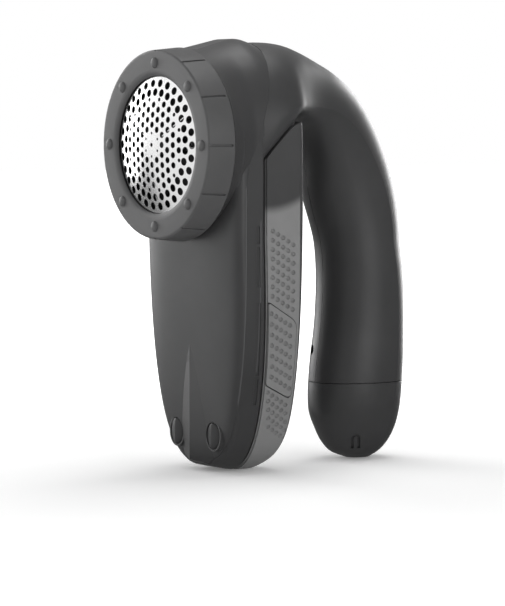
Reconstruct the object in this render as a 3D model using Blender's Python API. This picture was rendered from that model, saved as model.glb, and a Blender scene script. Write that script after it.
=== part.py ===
"""Electric fabric shaver standing on its arm and handle, in metres, +Z up.

Shapes are worked out with +Y counted backwards from the front face of the guard
ring and +X towards the right side of the shaver. The empty named shaver_frame
then moves everything so that the origin lies under the middle of the object.
"""

import math
from collections import namedtuple

import bmesh
import bpy
import numpy as np
from mathutils import Matrix, Vector

# Fits between neighbouring pieces
FIT = 0.0003
RUN = 0.0005
WALL = 0.002

# Guard ring and foil
RING_Z = 0.1495
RING_FRONT_R = 0.0425
RING_FLARE = 0.0015
RING_REAR_R = RING_FRONT_R + RING_FLARE
RING_DEPTH = 0.0138
RING_PLATE = 0.0030
RING_FACE = 0.0114
RING_OPENING_R = RING_FRONT_R - RING_FACE
RING_SKIRT = 0.0020
DOME_COUNT = 8
DOME_CIRCLE_R = RING_OPENING_R + 0.0059
DOME_R = 0.0023
DOME_HEIGHT = 0.0012
GRIP_GROOVES = 12
GRIP_WIDTH = 0.0011
GRIP_DEPTH = 0.0005
FOIL_PROUD = 0.0017
FOIL_SPHERE_R = 0.1534
FOIL_THICKNESS = 0.0003
FOIL_LAP = 0.0027
FOIL_R = RING_OPENING_R + FOIL_LAP
HOLE_PITCH = 0.00453
ROW_STEP = 0.0041
OUTER_ROW_R = RING_OPENING_R - 0.0032
INNER_ROW_R = OUTER_ROW_R - ROW_STEP
HOLES_PER_ROW = 30
ROW_HOLE_R = 0.00175
LATTICE_HOLE_R = 0.0014
EDGE_HOLE_R = 0.0009
TINY_HOLE_R = 0.0006

# Arm and head, one long rounded form
HALF_WIDTH = 0.037
ROUND_START_Z = 0.107
ROUND_POWER = 2.6
HEAD_HEIGHT = 0.042
CREST_Y = 0.0173
LEAN = 0.0036
CROWN = 0.0075
CROWN_POWER = 2.3
ARM_REAR_Y = 0.0566
ARM_CORNER_R = 0.003
SIDE_POWER = 2.2
FOOT_CUT = 0.0008

# Rounding of the arm's foot from front to rear: it stays flat between two planes
FOOT_ROUND_Z = 0.030
FOOT_FLAT_Y = (0.0310, 0.0450)
FOOT_FRONT_RUN = 0.0105
FOOT_FRONT_LIFT = 0.0030
FOOT_REAR_RUN = 0.0116
FOOT_REAR_LIFT = 0.0045

# Neck behind the guard ring
NECK_FRONT_R = RING_REAR_R - 0.0006
NECK_HALF_WIDTH = 0.0374
NECK_TOP = 0.0488
NECK_TOP_Y = 0.040
NECK_TUCK = 0.004
NECK_FALL = ((0.004, 0.0004), (0.008, 0.0018), (0.012, 0.0042), (0.016, 0.0075))
COLLAR_R = RING_FRONT_R - RING_SKIRT - RUN
COLLAR_WALL = 0.0025
COLLAR_FRONT_Y = 0.0036
COLLAR_REAR_Y = 0.0215

# Keel and glide studs low on the front cover
KEEL_Y = 0.0200
KEEL_TOP_Z = 0.058
KEEL_BOTTOM_Z = 0.002
KEEL_HALF_WIDTH = 0.0131
KEEL_POWER = 0.47
STUD_X = 0.0144
STUD_Z = 0.0171
STUD_HALF_WIDTH = 0.0048
STUD_HALF_HEIGHT = 0.0059
STUD_FRONT_Y = 0.0217
STUD_SEAT = 0.0022
STUD_PROUD = 0.0012
STUD_RIM = 0.0012

# Seam between front cover and housing, and the groove before the lint box
SEAM_BEND_Z = RING_Z - 0.0115
SEAM_SLOPE = 0.42
SEAM_STEP = 0.0004
GROOVE_Y = 0.0346
GROOVE = 0.0007
GROOVE_LEAN = 0.0030
WEB = 0.0018

# Outer line of the arch: a quarter of an ellipse
ARCH_Y = 0.0573
ARCH_Z = RING_Z - 0.047
ARCH_RUN = 0.0795
ARCH_RISE = 0.094
OUTER_POWER = 2.05

# Motor, cutter and their chamber
CHAMBER_FLANGE = 0.0027
CHAMBER_R = COLLAR_R - COLLAR_WALL - FIT - CHAMBER_FLANGE
CHAMBER_FRONT_Y = 0.0064
CHAMBER_FLOOR_Y = 0.0196
CHAMBER_BORE_R = 0.0045
CHAMBER_FLANGE_R = COLLAR_R - COLLAR_WALL - FIT
MOTOR_R = 0.0135
MOTOR_LENGTH = 0.0265
MOTOR_Y = CHAMBER_FLOOR_Y + WALL + FIT
MOTOR_REAR_Y = MOTOR_Y + MOTOR_LENGTH
MOTOR_CAP = 0.003
MOTOR_FLAT = 0.0018
MOTOR_SCREW_X = 0.008
MOTOR_SCREW_R = 0.0010
MOTOR_SCREW_HEAD_R = 0.0022
SHAFT_R = 0.00115
HUB_R = 0.0075
HUB_Y = 0.0042
HUB_DEPTH = 0.0080
BLADE_COUNT = 3
BLADE_OUTER_R = RING_OPENING_R - 0.0026
BLADE_THICKNESS = 0.0008
BLADE_SLOT = 0.0032
ARM_BLOCK = 0.0036
SPRING_R = 0.0046
SPRING_WIRE = 0.0004
SPRING_WELL = (0.0032, 0.0060)

# Motor bay, lint port and lint box
BAY_BOTTOM_Z = RING_Z - 0.020
BAY_REAR_Y = 0.0536
BAY_HALF_WIDTH = 0.0343
PORT_HALF_WIDTH = 0.016
PORT_Z = (0.084, 0.106)

# Squeeze button in each side panel of the lint box: its edges fall backwards
BUTTON_Y = (0.0372, 0.0530)
BUTTON_TOP_Z = (0.0789, 0.0690)
BUTTON_LOW_Z = (0.0418, 0.0337)
BUTTON_CLIP = (0.0012, 0.0032)
BUTTON_PROUD = 0.0004
BUTTON_TRAVEL = 0.0016
BUTTON_FLANGE = 0.0016
BUTTON_LIP = 0.0012
POCKET_WALL = 0.0014

# Battery cells in the handle
CELL_R = 0.0131
CELL_LENGTH = 0.0500
CELL_Y = 0.1177
CELL_BOTTOM_Z = 0.0155
CRADLE_WALL = 0.0012
CAP_SEAM_Z = 0.0368
CAP_FLOOR_Z = 0.006
SPIGOT = 0.005
NOTCH_DEPTH = 0.0012
NOTCH_HALF_WIDTH = 0.0022
NOTCH_Z = (0.0053, 0.0103)
NOTCH_ANGLE = math.radians(-38)

# Power inlet and thumb switch
JACK_X = -0.0065
JACK_Y = (0.0966, 0.1024)
JACK_Z = 0.0516
JACK_R = 0.0032
SWITCH_ANGLE = math.radians(28)
SWITCH_TRAVEL = 0.003

# Case screws across the two halves: (y, z)
CASE_SCREWS = ((0.064, 0.182), (0.088, 0.170), (0.110, 0.141), (0.0318, 0.012))
SCREW_R = 0.0012
SCREW_HEAD_R = 0.0025
SCREW_SEAT = 0.0060
BOSS_R = 0.0034

ORIGIN_Y = 0.0687

# A plane through the finger gap, and a distance past every side of the shaver
GAP_Y = 0.080
BEYOND = 0.300

Station = namedtuple("Station", "y z lean width crease depth bulge power stop")


def clear_scene():
    """Empties the scene, so that only the shaver is left in it."""
    for obj in list(bpy.data.objects):
        bpy.data.objects.remove(obj, do_unlink=True)


def make_material(name, colour, roughness, metallic=0.0):
    """A Principled material with one colour, roughness and metallic value."""
    material = bpy.data.materials.new(name)
    material.use_nodes = True
    shader = material.node_tree.nodes["Principled BSDF"]
    shader.inputs["Base Color"].default_value = (*colour, 1.0)
    shader.inputs["Roughness"].default_value = roughness
    shader.inputs["Metallic"].default_value = metallic
    return material


def mesh_object(name, shape):
    """An object from a bmesh, with its faces turned outwards."""
    bmesh.ops.remove_doubles(shape, verts=shape.verts, dist=1e-7)
    bmesh.ops.recalc_face_normals(shape, faces=shape.faces)
    mesh = bpy.data.meshes.new(name)
    shape.to_mesh(mesh)
    shape.free()
    obj = bpy.data.objects.new(name, mesh)
    bpy.context.scene.collection.objects.link(obj)
    return obj


def loft(name, rings, closed=False):
    """A solid through rings of equal length: capped at both ends, or closed into a hoop."""
    shape = bmesh.new()
    rows = [[shape.verts.new(point) for point in ring] for ring in rings]
    count = len(rows[0])
    pairs = list(zip(rows, rows[1:]))
    if closed:
        pairs.append((rows[-1], rows[0]))
    for one, two in pairs:
        for i in range(count):
            j = (i + 1) % count
            shape.faces.new((one[i], one[j], two[j], two[i]))
    if not closed:
        shape.faces.new(rows[0])
        shape.faces.new(rows[-1])
    return mesh_object(name, shape)


def block(name, x, y, z):
    """A box between two values on each axis."""
    corners = [(x[i], y[j]) for i, j in ((0, 0), (1, 0), (1, 1), (0, 1))]
    return loft(name, [[(a, b, level) for a, b in corners] for level in z])


def side_prism(name, outline, x):
    """An outline of (y, z) points, extruded across the shaver between two x values."""
    return loft(name, [[(level, y, z) for y, z in outline] for level in x])


def turned(name, profile, segments, centre=(0.0, RING_Z), closed=True):
    """A profile of (radius, y) points turned about a front-to-back axis through centre."""
    rings = []
    for i in range(segments):
        angle = 2 * math.pi * i / segments
        c, s = math.cos(angle), math.sin(angle)
        rings.append([(centre[0] + r * c, y, centre[1] + r * s) for r, y in profile])
    if closed:
        return loft(name, rings, closed=True)
    columns = [[ring[k] for ring in rings] for k in range(len(profile))]
    return loft(name, columns)


def rod(name, start, end, radius, segments=16, end_radius=None):
    """A round bar, or a cone, between two points."""
    start, end = Vector(start), Vector(end)
    along = end - start
    turn = along.to_track_quat("Z", "Y").to_matrix()
    rings = []
    for base, size in ((start, radius), (end, radius if end_radius is None else end_radius)):
        ring = []
        for i in range(segments):
            angle = 2 * math.pi * i / segments
            ring.append(base + turn @ Vector((size * math.cos(angle), size * math.sin(angle), 0)))
        rings.append(ring)
    return loft(name, rings)


def boolean(obj, tool, operation, keep_tool=False):
    """Cuts, joins or intersects obj with tool at once, and removes tool unless it is kept."""
    step = obj.modifiers.new(operation.lower(), "BOOLEAN")
    step.operation = operation
    step.solver = "EXACT"
    step.object = tool
    bpy.context.view_layer.update()
    graph = bpy.context.evaluated_depsgraph_get()
    result = bpy.data.meshes.new_from_object(obj.evaluated_get(graph))
    obj.modifiers.clear()
    obj.data = result
    if not keep_tool:
        bpy.data.objects.remove(tool, do_unlink=True)
    return obj


def cut(obj, tool, keep_tool=False):
    """Takes tool away from obj."""
    return boolean(obj, tool, "DIFFERENCE", keep_tool)


def join(obj, tool, keep_tool=False):
    """Unites tool with obj."""
    return boolean(obj, tool, "UNION", keep_tool)


def keep_common(obj, tool, keep_tool=False):
    """Keeps only what obj shares with tool."""
    return boolean(obj, tool, "INTERSECT", keep_tool)


def duplicate(obj, name):
    """A second object with its own copy of the mesh."""
    twin = bpy.data.objects.new(name, obj.data.copy())
    bpy.context.scene.collection.objects.link(twin)
    return twin


def mirrored(obj, name):
    """The same solid on the other side of the middle plane."""
    twin = duplicate(obj, name)
    shape = bmesh.new()
    shape.from_mesh(twin.data)
    bmesh.ops.scale(shape, vec=(-1, 1, 1), verts=shape.verts)
    bmesh.ops.reverse_faces(shape, faces=shape.faces)
    shape.to_mesh(twin.data)
    shape.free()
    return twin


def smooth_between(places, values, at):
    """A smooth curve through (place, value) keys, read at the places in at."""
    places = np.asarray(places, float)
    values = np.asarray(values, float)
    slopes = np.gradient(values, places)
    at = np.clip(at, places[0], places[-1])
    i = np.clip(np.searchsorted(places, at, side="right") - 1, 0, len(places) - 2)
    span = places[i + 1] - places[i]
    t = (at - places[i]) / span
    a = (1 + 2 * t) * (1 - t) ** 2 * values[i] + t * (1 - t) ** 2 * span * slopes[i]
    b = t**2 * (3 - 2 * t) * values[i + 1] + t**2 * (t - 1) * span * slopes[i + 1]
    return a + b


def superellipse(angle, width, height, power):
    """A point of a superellipse at an angle, as (across, up)."""
    c, s = math.cos(angle), math.sin(angle)
    across = width * math.copysign(abs(c) ** (2 / power), c)
    up = height * math.copysign(abs(s) ** (2 / power), s)
    return across, up


def arm_outline(inset=0.0, corner_points=9, top_points=7):
    """The arm and head seen from the front, as (x, z) points from the foot's middle round."""
    wide, tall = HALF_WIDTH - inset, ROUND_START_Z - inset
    level = min(1.0, 1 - FOOT_CUT / tall)
    half = [(0.0, inset), (wide * (1 - level**ROUND_POWER) ** (1 / ROUND_POWER), inset)]
    for i in range(1, corner_points):
        angle = -math.pi / 2 + math.pi / 2 * i / (corner_points - 1)
        x, z = superellipse(angle, wide, tall, ROUND_POWER)
        half.append((x, z + ROUND_START_Z - FOOT_CUT))
    half.append((wide, (ROUND_START_Z + RING_Z) / 2))
    for i in range(top_points):
        angle = math.pi / 2 * i / (top_points - 1)
        x, z = superellipse(angle, wide, HEAD_HEIGHT - inset, SIDE_POWER)
        half.append((x, z + RING_Z))
    half[-1] = (0.0, half[-1][1])
    return half + [(-x, z) for x, z in reversed(half[1:-1])]


def fall_back(z):
    """How far down the rounded end of the arm a height lies, from 0 at its start to 1."""
    return max(0.0, (ROUND_START_Z - z) / ROUND_START_Z)


def front_y(x, z):
    """Where the front of the arm lies below the start of its rounded end."""
    k = (abs(x / HALF_WIDTH) ** ROUND_POWER + fall_back(z + FOOT_CUT) ** ROUND_POWER) ** (1 / ROUND_POWER)
    crown = 1 - (1 - min(k, 1.0) ** CROWN_POWER) ** (1 / CROWN_POWER)
    return CREST_Y + LEAN * fall_back(z) + CROWN * crown


def round_foot(obj):
    """Lifts the low part of a solid ahead of and behind the flat of the foot."""
    for vertex in obj.data.vertices:
        y, z = vertex.co.y, vertex.co.z
        ahead = max(0.0, FOOT_FLAT_Y[0] - y) / FOOT_FRONT_RUN
        behind = max(0.0, y - FOOT_FLAT_Y[1]) / FOOT_REAR_RUN
        rise = FOOT_FRONT_LIFT * min(ahead, 1.0) ** 2 + FOOT_REAR_LIFT * min(behind, 1.0) ** 2
        share = min(max(0.0, 1 - z / FOOT_ROUND_Z), 1.0)
        vertex.co.z += rise * share**2
    return obj


def arm_solid(name, inset=0.0, rear=ARM_REAR_Y, rings=(0, 0.3, 0.55, 0.75, 0.88, 0.96, 1)):
    """The long rounded form of arm and head, made smaller all round by inset."""
    outline = arm_outline(inset)

    def level(share, place):
        ring = []
        for x, z in outline:
            middle = min(max(z, ROUND_START_Z), RING_Z)
            height = middle + (z - middle) * share
            ring.append((x * share, place(height), height))
        return ring

    levels = []
    for k in rings:
        crown = CROWN * (1 - (1 - k**CROWN_POWER) ** (1 / CROWN_POWER))
        levels.append(level(k, lambda height: CREST_Y + LEAN * fall_back(height) + crown + inset))
    end = rear - inset
    flat_front, flat_rear = FOOT_FLAT_Y
    for y in (flat_front, flat_rear, (flat_rear + ARM_REAR_Y) / 2):
        if CREST_Y + LEAN + CROWN + inset < y < end - ARM_CORNER_R:
            levels.append(level(1, lambda height: y))
    for back, pull in ((ARM_CORNER_R, 0), (ARM_CORNER_R * 0.3, 0.3), (0, 1)):
        levels.append(level(1 - pull * ARM_CORNER_R / HALF_WIDTH, lambda height: end - back))
    shape = bmesh.new()
    rows = [[shape.verts.new(point) for point in ring] for ring in levels]
    for one, two in zip(rows, rows[1:]):
        for i in range(len(outline)):
            j = (i + 1) % len(outline)
            shape.faces.new((one[i], one[j], two[j], two[i]))
    shape.faces.new(rows[-1])
    return round_foot(mesh_object(name, shape))


def neck_solid(name, inset=0.0, front=RING_DEPTH + FIT, segments=40):
    """The neck: a circle behind the guard ring that wraps the head and falls to the seam."""
    rings = []
    steps = 6
    for step in range(steps + 1):
        t = step / steps
        y = front + (NECK_TOP_Y - front) * t
        narrowed = min(1.0, 1.9 * t * t * (3 - 2 * t))
        width = NECK_FRONT_R + (NECK_HALF_WIDTH - NECK_FRONT_R) * narrowed - inset
        top = NECK_FRONT_R + (NECK_TOP - NECK_FRONT_R) * math.sin(t * math.pi / 2) - inset
        low = width - NECK_TUCK * narrowed
        rings.append(neck_ring(y, width, top, low, segments))
    for back, drop in NECK_FALL:
        rings.append(neck_ring(NECK_TOP_Y + back, width, top - drop, low, segments))
    return loft(name, rings)


def neck_ring(y, width, top, low, segments):
    """One section of the neck, half a circle or ellipse above its middle and half below."""
    ring = []
    for i in range(segments):
        angle = 2 * math.pi * i / segments
        height = top if math.sin(angle) > 0 else low
        ring.append((width * math.cos(angle), y, RING_Z + height * math.sin(angle)))
    return ring


def arch_stations():
    """The guide sections of arch and handle, from the head to the foot of the handle."""
    stations = []
    for y, z, width, crease, depth, stop in (
        (0.0240, 0.0425, 0.0367, 0.0540, 0.060, 1),
        (0.0353, 0.0450, 0.0367, 0.0435, 0.056, 2),
        (0.0483, 0.0466, 0.0362, 0.0326, 0.046, 14),
    ):
        stations.append(Station(y, RING_Z + z, 0.0, width, crease, depth, 0.0, 4.0, stop))
    angles = (90, 75, 60, 45, 30, 15, 0)
    widths = (0.0340, 0.0272, 0.0222, 0.0196, 0.0184, 0.0179, 0.0178)
    creases = (0.0295, 0.0268, 0.0222, 0.0182, 0.0156, 0.0136, 0.0125)
    depths = (0.0352, 0.0330, 0.0338, 0.0385, 0.0425, 0.0432, 0.0405)
    bulges = (0, 0, 0.0002, 0.0006, 0.001, 0.0014, 0.0016)
    powers = (4.5, 4.2, 3.6, 3.0, 2.6, 2.3, 2.2)
    stops = (15, 18, 21, 23, 24, 24, 24)
    for angle in np.arange(90, -1, -7.5):
        keys = [-a for a in angles]
        turn = math.radians(angle)
        y = ARCH_Y + ARCH_RUN * math.cos(turn)
        z = ARCH_Z + ARCH_RISE * math.sin(turn)
        lean = math.atan2(math.cos(turn) / ARCH_RUN, math.sin(turn) / ARCH_RISE)
        rows = (widths, creases, depths, bulges, powers, stops)
        found = [float(smooth_between(keys, row, -angle)) for row in rows]
        stations.append(Station(y, z, lean, *found))
    for z, y, width, crease, depth, bulge, stop in (
        (0.0895, 0.1380, 0.0177, 0.0122, 0.0408, 0.0017, 24),
        (0.0745, 0.1390, 0.0177, 0.0120, 0.0420, 0.0018, 24),
        (0.0605, 0.1391, 0.0180, 0.0121, 0.0433, 0.0018, 24),
        (0.0495, 0.1388, 0.0185, 0.0124, 0.0448, 0.0019, 23),
        (0.0380, 0.1382, 0.0189, 0.0128, 0.0455, 0.0019, 22),
        (0.0295, 0.1375, 0.0187, 0.0127, 0.0453, 0.0018, 20),
        (0.0220, 0.1365, 0.0178, 0.0124, 0.0440, 0.0016, 18),
        (0.0145, 0.1345, 0.0160, 0.0116, 0.0402, 0.0012, 15),
        (0.0075, 0.1310, 0.0130, 0.0100, 0.0330, 0.0008, 12),
        (0.0028, 0.1268, 0.0092, 0.0076, 0.0240, 0.0004, 10),
        (0.0000, 0.1225, 0.0050, 0.0048, 0.0120, 0.0, 10),
    ):
        stations.append(Station(y, z, math.pi / 2, width, crease, depth, bulge, 2.2, stop))
    return stations


def arch_ring(station, inset, outer_points, inner_points):
    """One section: a crowned outer side down to the crease, then a round or square inner side.

    The outer side is a superellipse arc that stops at the crease angle, scaled so that it
    ends at the half width and the crease drop.
    """
    half = []
    width = station.width - inset
    crease = station.crease - inset
    depth = station.depth - 2 * inset
    stop = math.radians(station.stop)
    end_x, end_up = superellipse(stop, 1.0, 1.0, OUTER_POWER)
    for i in range(outer_points):
        angle = math.pi / 2 + (stop - math.pi / 2) * i / (outer_points - 1)
        x, up = superellipse(angle, 1.0, 1.0, OUTER_POWER)
        half.append((width * x / end_x, crease * (1 - up) / (1 - end_up)))
    for i in range(1, inner_points):
        angle = math.pi / 2 * i / (inner_points - 1)
        x, down = superellipse(angle, 1.0, depth - crease, station.power)
        half.append((x * (width + station.bulge * math.sin(2 * angle)), crease + down))
    half[0] = (0.0, 0.0)
    half[-1] = (0.0, depth)
    out_y, out_z = math.sin(station.lean), math.cos(station.lean)
    points = []
    for x, down in half + [(-x, d) for x, d in reversed(half[1:-1])]:
        reach = down + inset
        points.append((x, station.y - reach * out_y, station.z - reach * out_z))
    return points


def arch_solid(name, inset=0.0, outer_points=6, inner_points=8):
    """Arch and handle as one form, made smaller all round by inset."""
    rings = []
    for station in arch_stations():
        if station.z < inset or station.width < 2.5 * inset:
            continue
        rings.append(arch_ring(station, inset, outer_points, inner_points))
    return loft(name, rings)


def seam_line(offset=0.0):
    """The parting line of front cover and housing from the top down, as (y, z) points."""
    low_y = CREST_Y + CROWN + offset
    points = []
    for z in (RING_Z + BEYOND, RING_Z):
        points.append((low_y + SEAM_STEP + SEAM_SLOPE * (z - SEAM_BEND_Z), z))
    points.append((low_y + 0.0013, SEAM_BEND_Z - 0.001))
    points.append((low_y, SEAM_BEND_Z - 0.008))
    points.append((low_y, -BEYOND))
    return points


def ahead_of_seam(name):
    """Everything in front of the parting line."""
    outline = seam_line() + [(-BEYOND, -BEYOND), (-BEYOND, RING_Z + BEYOND)]
    return side_prism(name, outline, (-BEYOND, BEYOND))


def behind_seam(name):
    """Everything behind the parting line, past the fit."""
    outline = seam_line(FIT) + [(2 * BEYOND, -BEYOND), (2 * BEYOND, RING_Z + BEYOND)]
    return side_prism(name, outline, (-BEYOND, BEYOND))


def groove_line(offset=0.0, top=BEYOND):
    """A line along the groove before the lint box from the foot up, as (y, z) points."""
    y = GROOVE_Y + offset
    below = (y + 2 * GROOVE_LEAN, -ROUND_START_Z)
    return [below, (y, ROUND_START_Z), (y, top)]


def ahead_of_groove(name, offset=0.0):
    """Everything in front of the groove, moved backwards by offset."""
    outline = groove_line(offset) + [(-BEYOND, BEYOND), (-BEYOND, -ROUND_START_Z)]
    return side_prism(name, outline, (-BEYOND, BEYOND))


def box_side(name, gap=0.0, rear=ARM_REAR_Y + FIT):
    """The room of the lint box: behind the groove and below the slanting edge."""
    drop = gap
    outline = groove_line(gap, RING_Z - 0.0062 - drop)
    for y, z in ((0.0392, -0.002), (0.045, 0.0036), (0.0515, 0.0090), (rear, 0.0114)):
        outline.append((y, RING_Z + z - drop))
    outline.append((rear, -ROUND_START_Z))
    return side_prism(name, outline, (-BEYOND, BEYOND))


def keel_solid(name):
    """The wedge on the front of the arm: an upright ridge that widens downwards."""
    deep = 0.035
    sunk = 0.0003
    steps = 8
    rings = []
    for i in range(steps + 1):
        t = (i / steps) ** 1.4
        z = KEEL_TOP_Z + (KEEL_BOTTOM_Z - KEEL_TOP_Z) * t
        half = max(0.0006, KEEL_HALF_WIDTH * t**KEEL_POWER)
        ridge = KEEL_Y + 0.0025 * max(0.0, t - 0.85) / 0.15
        edge = max(front_y(half, z) + sunk, ridge + sunk)
        rings.append([(0, ridge, z), (half, edge, z), (half, deep, z), (-half, deep, z), (-half, edge, z)])
    return round_foot(loft(name, rings))


def foil_y(radius, behind=0.0):
    """The foil's dome: how far behind the ring face it lies at a distance from its middle."""
    return -FOIL_PROUD + behind + radius**2 / (2 * FOIL_SPHERE_R)


def foil_holes():
    """Every hole of the foil as (x, z, radius, sides) about its middle."""
    holes = [(0.0, 0.0, EDGE_HOLE_R, 6)]
    rise = HOLE_PITCH * math.sqrt(3) / 2
    for column in range(-6, 7):
        for row in range(-6, 7):
            x = column * rise
            z = (row + (column % 2) / 2) * HOLE_PITCH
            rings_out = round((x * x + z * z) / HOLE_PITCH**2)
            if rings_out in (3, 4, 7, 9, 12, 13, 16, 19):
                holes.append((x, z, LATTICE_HOLE_R, 6))
            elif rings_out == 21:
                holes.append((x, z, EDGE_HOLE_R, 6))
    for i in range(6):
        angle = math.radians(90 + 60 * i)
        reach = HOLE_PITCH * 1.16
        holes.append((reach * math.cos(angle), reach * math.sin(angle), TINY_HOLE_R, 6))
    for radius, start in ((INNER_ROW_R, 0.0), (OUTER_ROW_R, 0.5)):
        for i in range(HOLES_PER_ROW):
            angle = math.pi / 2 + 2 * math.pi * (i + start) / HOLES_PER_ROW
            holes.append((radius * math.cos(angle), radius * math.sin(angle), ROW_HOLE_R, 7))
    return holes


def make_foil():
    """The domed screen: holes are cut in a flat disc, which is then bent to its sphere."""
    flat = turned("foil", [(FOIL_R, 0.0), (FOIL_R, FOIL_THICKNESS)], 48, closed=False)
    cutters = bmesh.new()
    for x, z, radius, sides in foil_holes():
        spot = Matrix.Translation((x, 0, RING_Z + z)) @ Matrix.Rotation(math.pi / 2, 4, "X")
        bmesh.ops.create_cone(
            cutters,
            cap_ends=True,
            segments=sides,
            radius1=radius,
            radius2=radius,
            depth=0.004,
            matrix=spot,
        )
    foil = cut(flat, mesh_object("foil_punch", cutters))
    for vertex in foil.data.vertices:
        radius = math.hypot(vertex.co.x, vertex.co.z - RING_Z)
        vertex.co.y += foil_y(radius)
    return foil


def make_guard_ring():
    """The ring: a turned plate and rim with grip grooves round it and domes on its face."""
    lip = foil_y(RING_OPENING_R) - FIT
    seat_r = FOIL_R + FIT + 0.0002
    inner_r = COLLAR_R + RUN
    profile = [
        (RING_OPENING_R, lip),
        (RING_OPENING_R, lip - 0.0003),
        (RING_OPENING_R + 0.0005, 0.0003),
        (RING_OPENING_R + 0.0015, 0.0),
        (RING_FRONT_R - 0.0010, 0.0),
        (RING_FRONT_R - 0.0002, 0.0004),
        (RING_FRONT_R, 0.0011),
        (RING_REAR_R, RING_DEPTH - 0.0006),
        (RING_REAR_R - 0.0005, RING_DEPTH),
        (inner_r + 0.0003, RING_DEPTH),
        (inner_r, RING_DEPTH - 0.0004),
        (inner_r, RING_PLATE),
        (seat_r, RING_PLATE),
        (seat_r, lip),
    ]
    ring = turned("guard_ring", profile, 48)
    for i in range(GRIP_GROOVES):
        groove = block(
            "grip",
            (-GRIP_WIDTH / 2, GRIP_WIDTH / 2),
            (-GRIP_WIDTH, RING_DEPTH * 0.9),
            (RING_FRONT_R - GRIP_DEPTH, RING_REAR_R + RING_DEPTH),
        )
        groove.data.transform(Matrix.Rotation(-math.atan2(RING_FLARE, RING_DEPTH), 4, "X"))
        turn = Matrix.Rotation(2 * math.pi * i / GRIP_GROOVES, 4, "Y")
        groove.data.transform(Matrix.Translation((0, 0, RING_Z)) @ turn)
        cut(ring, groove)
    for i in range(DOME_COUNT):
        angle = 2 * math.pi * i / DOME_COUNT
        x, z = DOME_CIRCLE_R * math.cos(angle), DOME_CIRCLE_R * math.sin(angle)
        profile = [
            (DOME_R, 0.0006),
            (DOME_R, -0.0001),
            (DOME_R * 0.75, -DOME_HEIGHT * 0.7),
            (DOME_R * 0.3, -DOME_HEIGHT),
        ]
        join(ring, turned("dome", profile, 10, (x, RING_Z + z), closed=False))
    return ring


def make_foil_frame():
    """The holder behind the foil, whose flange snaps behind the ring's plate."""
    inner = RING_OPENING_R - 0.0006
    profile = [
        (inner, foil_y(inner, FOIL_THICKNESS + FIT)),
        (FOIL_R, foil_y(FOIL_R, FOIL_THICKNESS + FIT)),
        (FOIL_R, RING_PLATE + FIT),
        (FOIL_R + 0.0022, RING_PLATE + FIT),
        (FOIL_R + 0.0022, RING_PLATE + 0.0018),
        (inner, RING_PLATE + 0.0028),
    ]
    return turned("foil_frame", profile, 48)


def make_front_cover():
    """Neck, collar and the front of the arm: one shell that is open behind."""
    shell = arm_solid("front_cover")
    join(shell, neck_solid("neck"))
    join(shell, keel_solid("keel"))
    collar = [(COLLAR_R, COLLAR_FRONT_Y), (COLLAR_R, COLLAR_REAR_Y)]
    join(shell, turned("collar", collar, 48, closed=False))
    keep_common(shell, ahead_of_seam("front_side"))
    hollow = arm_solid("hollow", inset=WALL, rings=(0, 0.4, 0.7, 0.88, 1))
    join(hollow, neck_solid("neck_hollow", inset=WALL, front=RING_DEPTH + FIT + WALL, segments=32))
    bore_r = COLLAR_R - COLLAR_WALL
    join(hollow, turned("bore", [(bore_r, -RING_DEPTH), (bore_r, 0.024)], 40, closed=False))
    cut(shell, hollow)
    floor = STUD_FRONT_Y + STUD_SEAT
    for side in (-1, 1):
        seat = stud_form("stud_seat", side, STUD_RIM, (STUD_FRONT_Y + STUD_PROUD, floor + WALL))
        join(shell, keep_common(seat, ahead_of_seam("seat_limit")))
        cut(shell, stud_form("stud_socket", side, FIT, (STUD_FRONT_Y - RING_DEPTH, floor)))
    return shell


def stud_form(name, side, grow, y, rows=((1, 0), (1, 1))):
    """An oval plug where a glide stud sits: rows of (share of its size, share of its length)."""
    rings = []
    for size, along in rows:
        ring = []
        for i in range(20):
            angle = 2 * math.pi * i / 20
            x = (STUD_HALF_WIDTH * size + grow) * math.cos(angle)
            z = (STUD_HALF_HEIGHT * size + grow) * math.sin(angle)
            ring.append((side * STUD_X + x, y[0] + (y[1] - y[0]) * along, STUD_Z + z))
        rings.append(ring)
    return loft(name, rings)


def make_stud(name, side):
    """An oval glide stud: a short plug with a domed face."""
    rows = ((0.3, 0), (0.7, 0.06), (0.92, 0.18), (1, 0.35), (1, 1))
    return stud_form(name, side, 0.0, (STUD_FRONT_Y, STUD_FRONT_Y + STUD_SEAT - FIT), rows)


def make_housing():
    """Head rear, arch, handle and the arm's side rails, before they are split in halves."""
    shell = arch_solid("housing")
    band = arm_solid("band", rear=ARM_REAR_Y)
    keep_common(band, ahead_of_groove("band_part"))
    keep_common(band, block("band_top", (-BEYOND, BEYOND), (-BEYOND, BEYOND), (-BEYOND, RING_Z + 0.0105)))
    join(shell, band)
    cut(shell, box_side("box_room"))
    bay_y, bay_z = (0.030, BAY_REAR_Y), (BAY_BOTTOM_Z, RING_Z + 0.012)
    join(shell, block("bay", (-BAY_HALF_WIDTH, BAY_HALF_WIDTH), bay_y, bay_z))
    keep_common(shell, behind_seam("rear_side"))
    return shell


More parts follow.
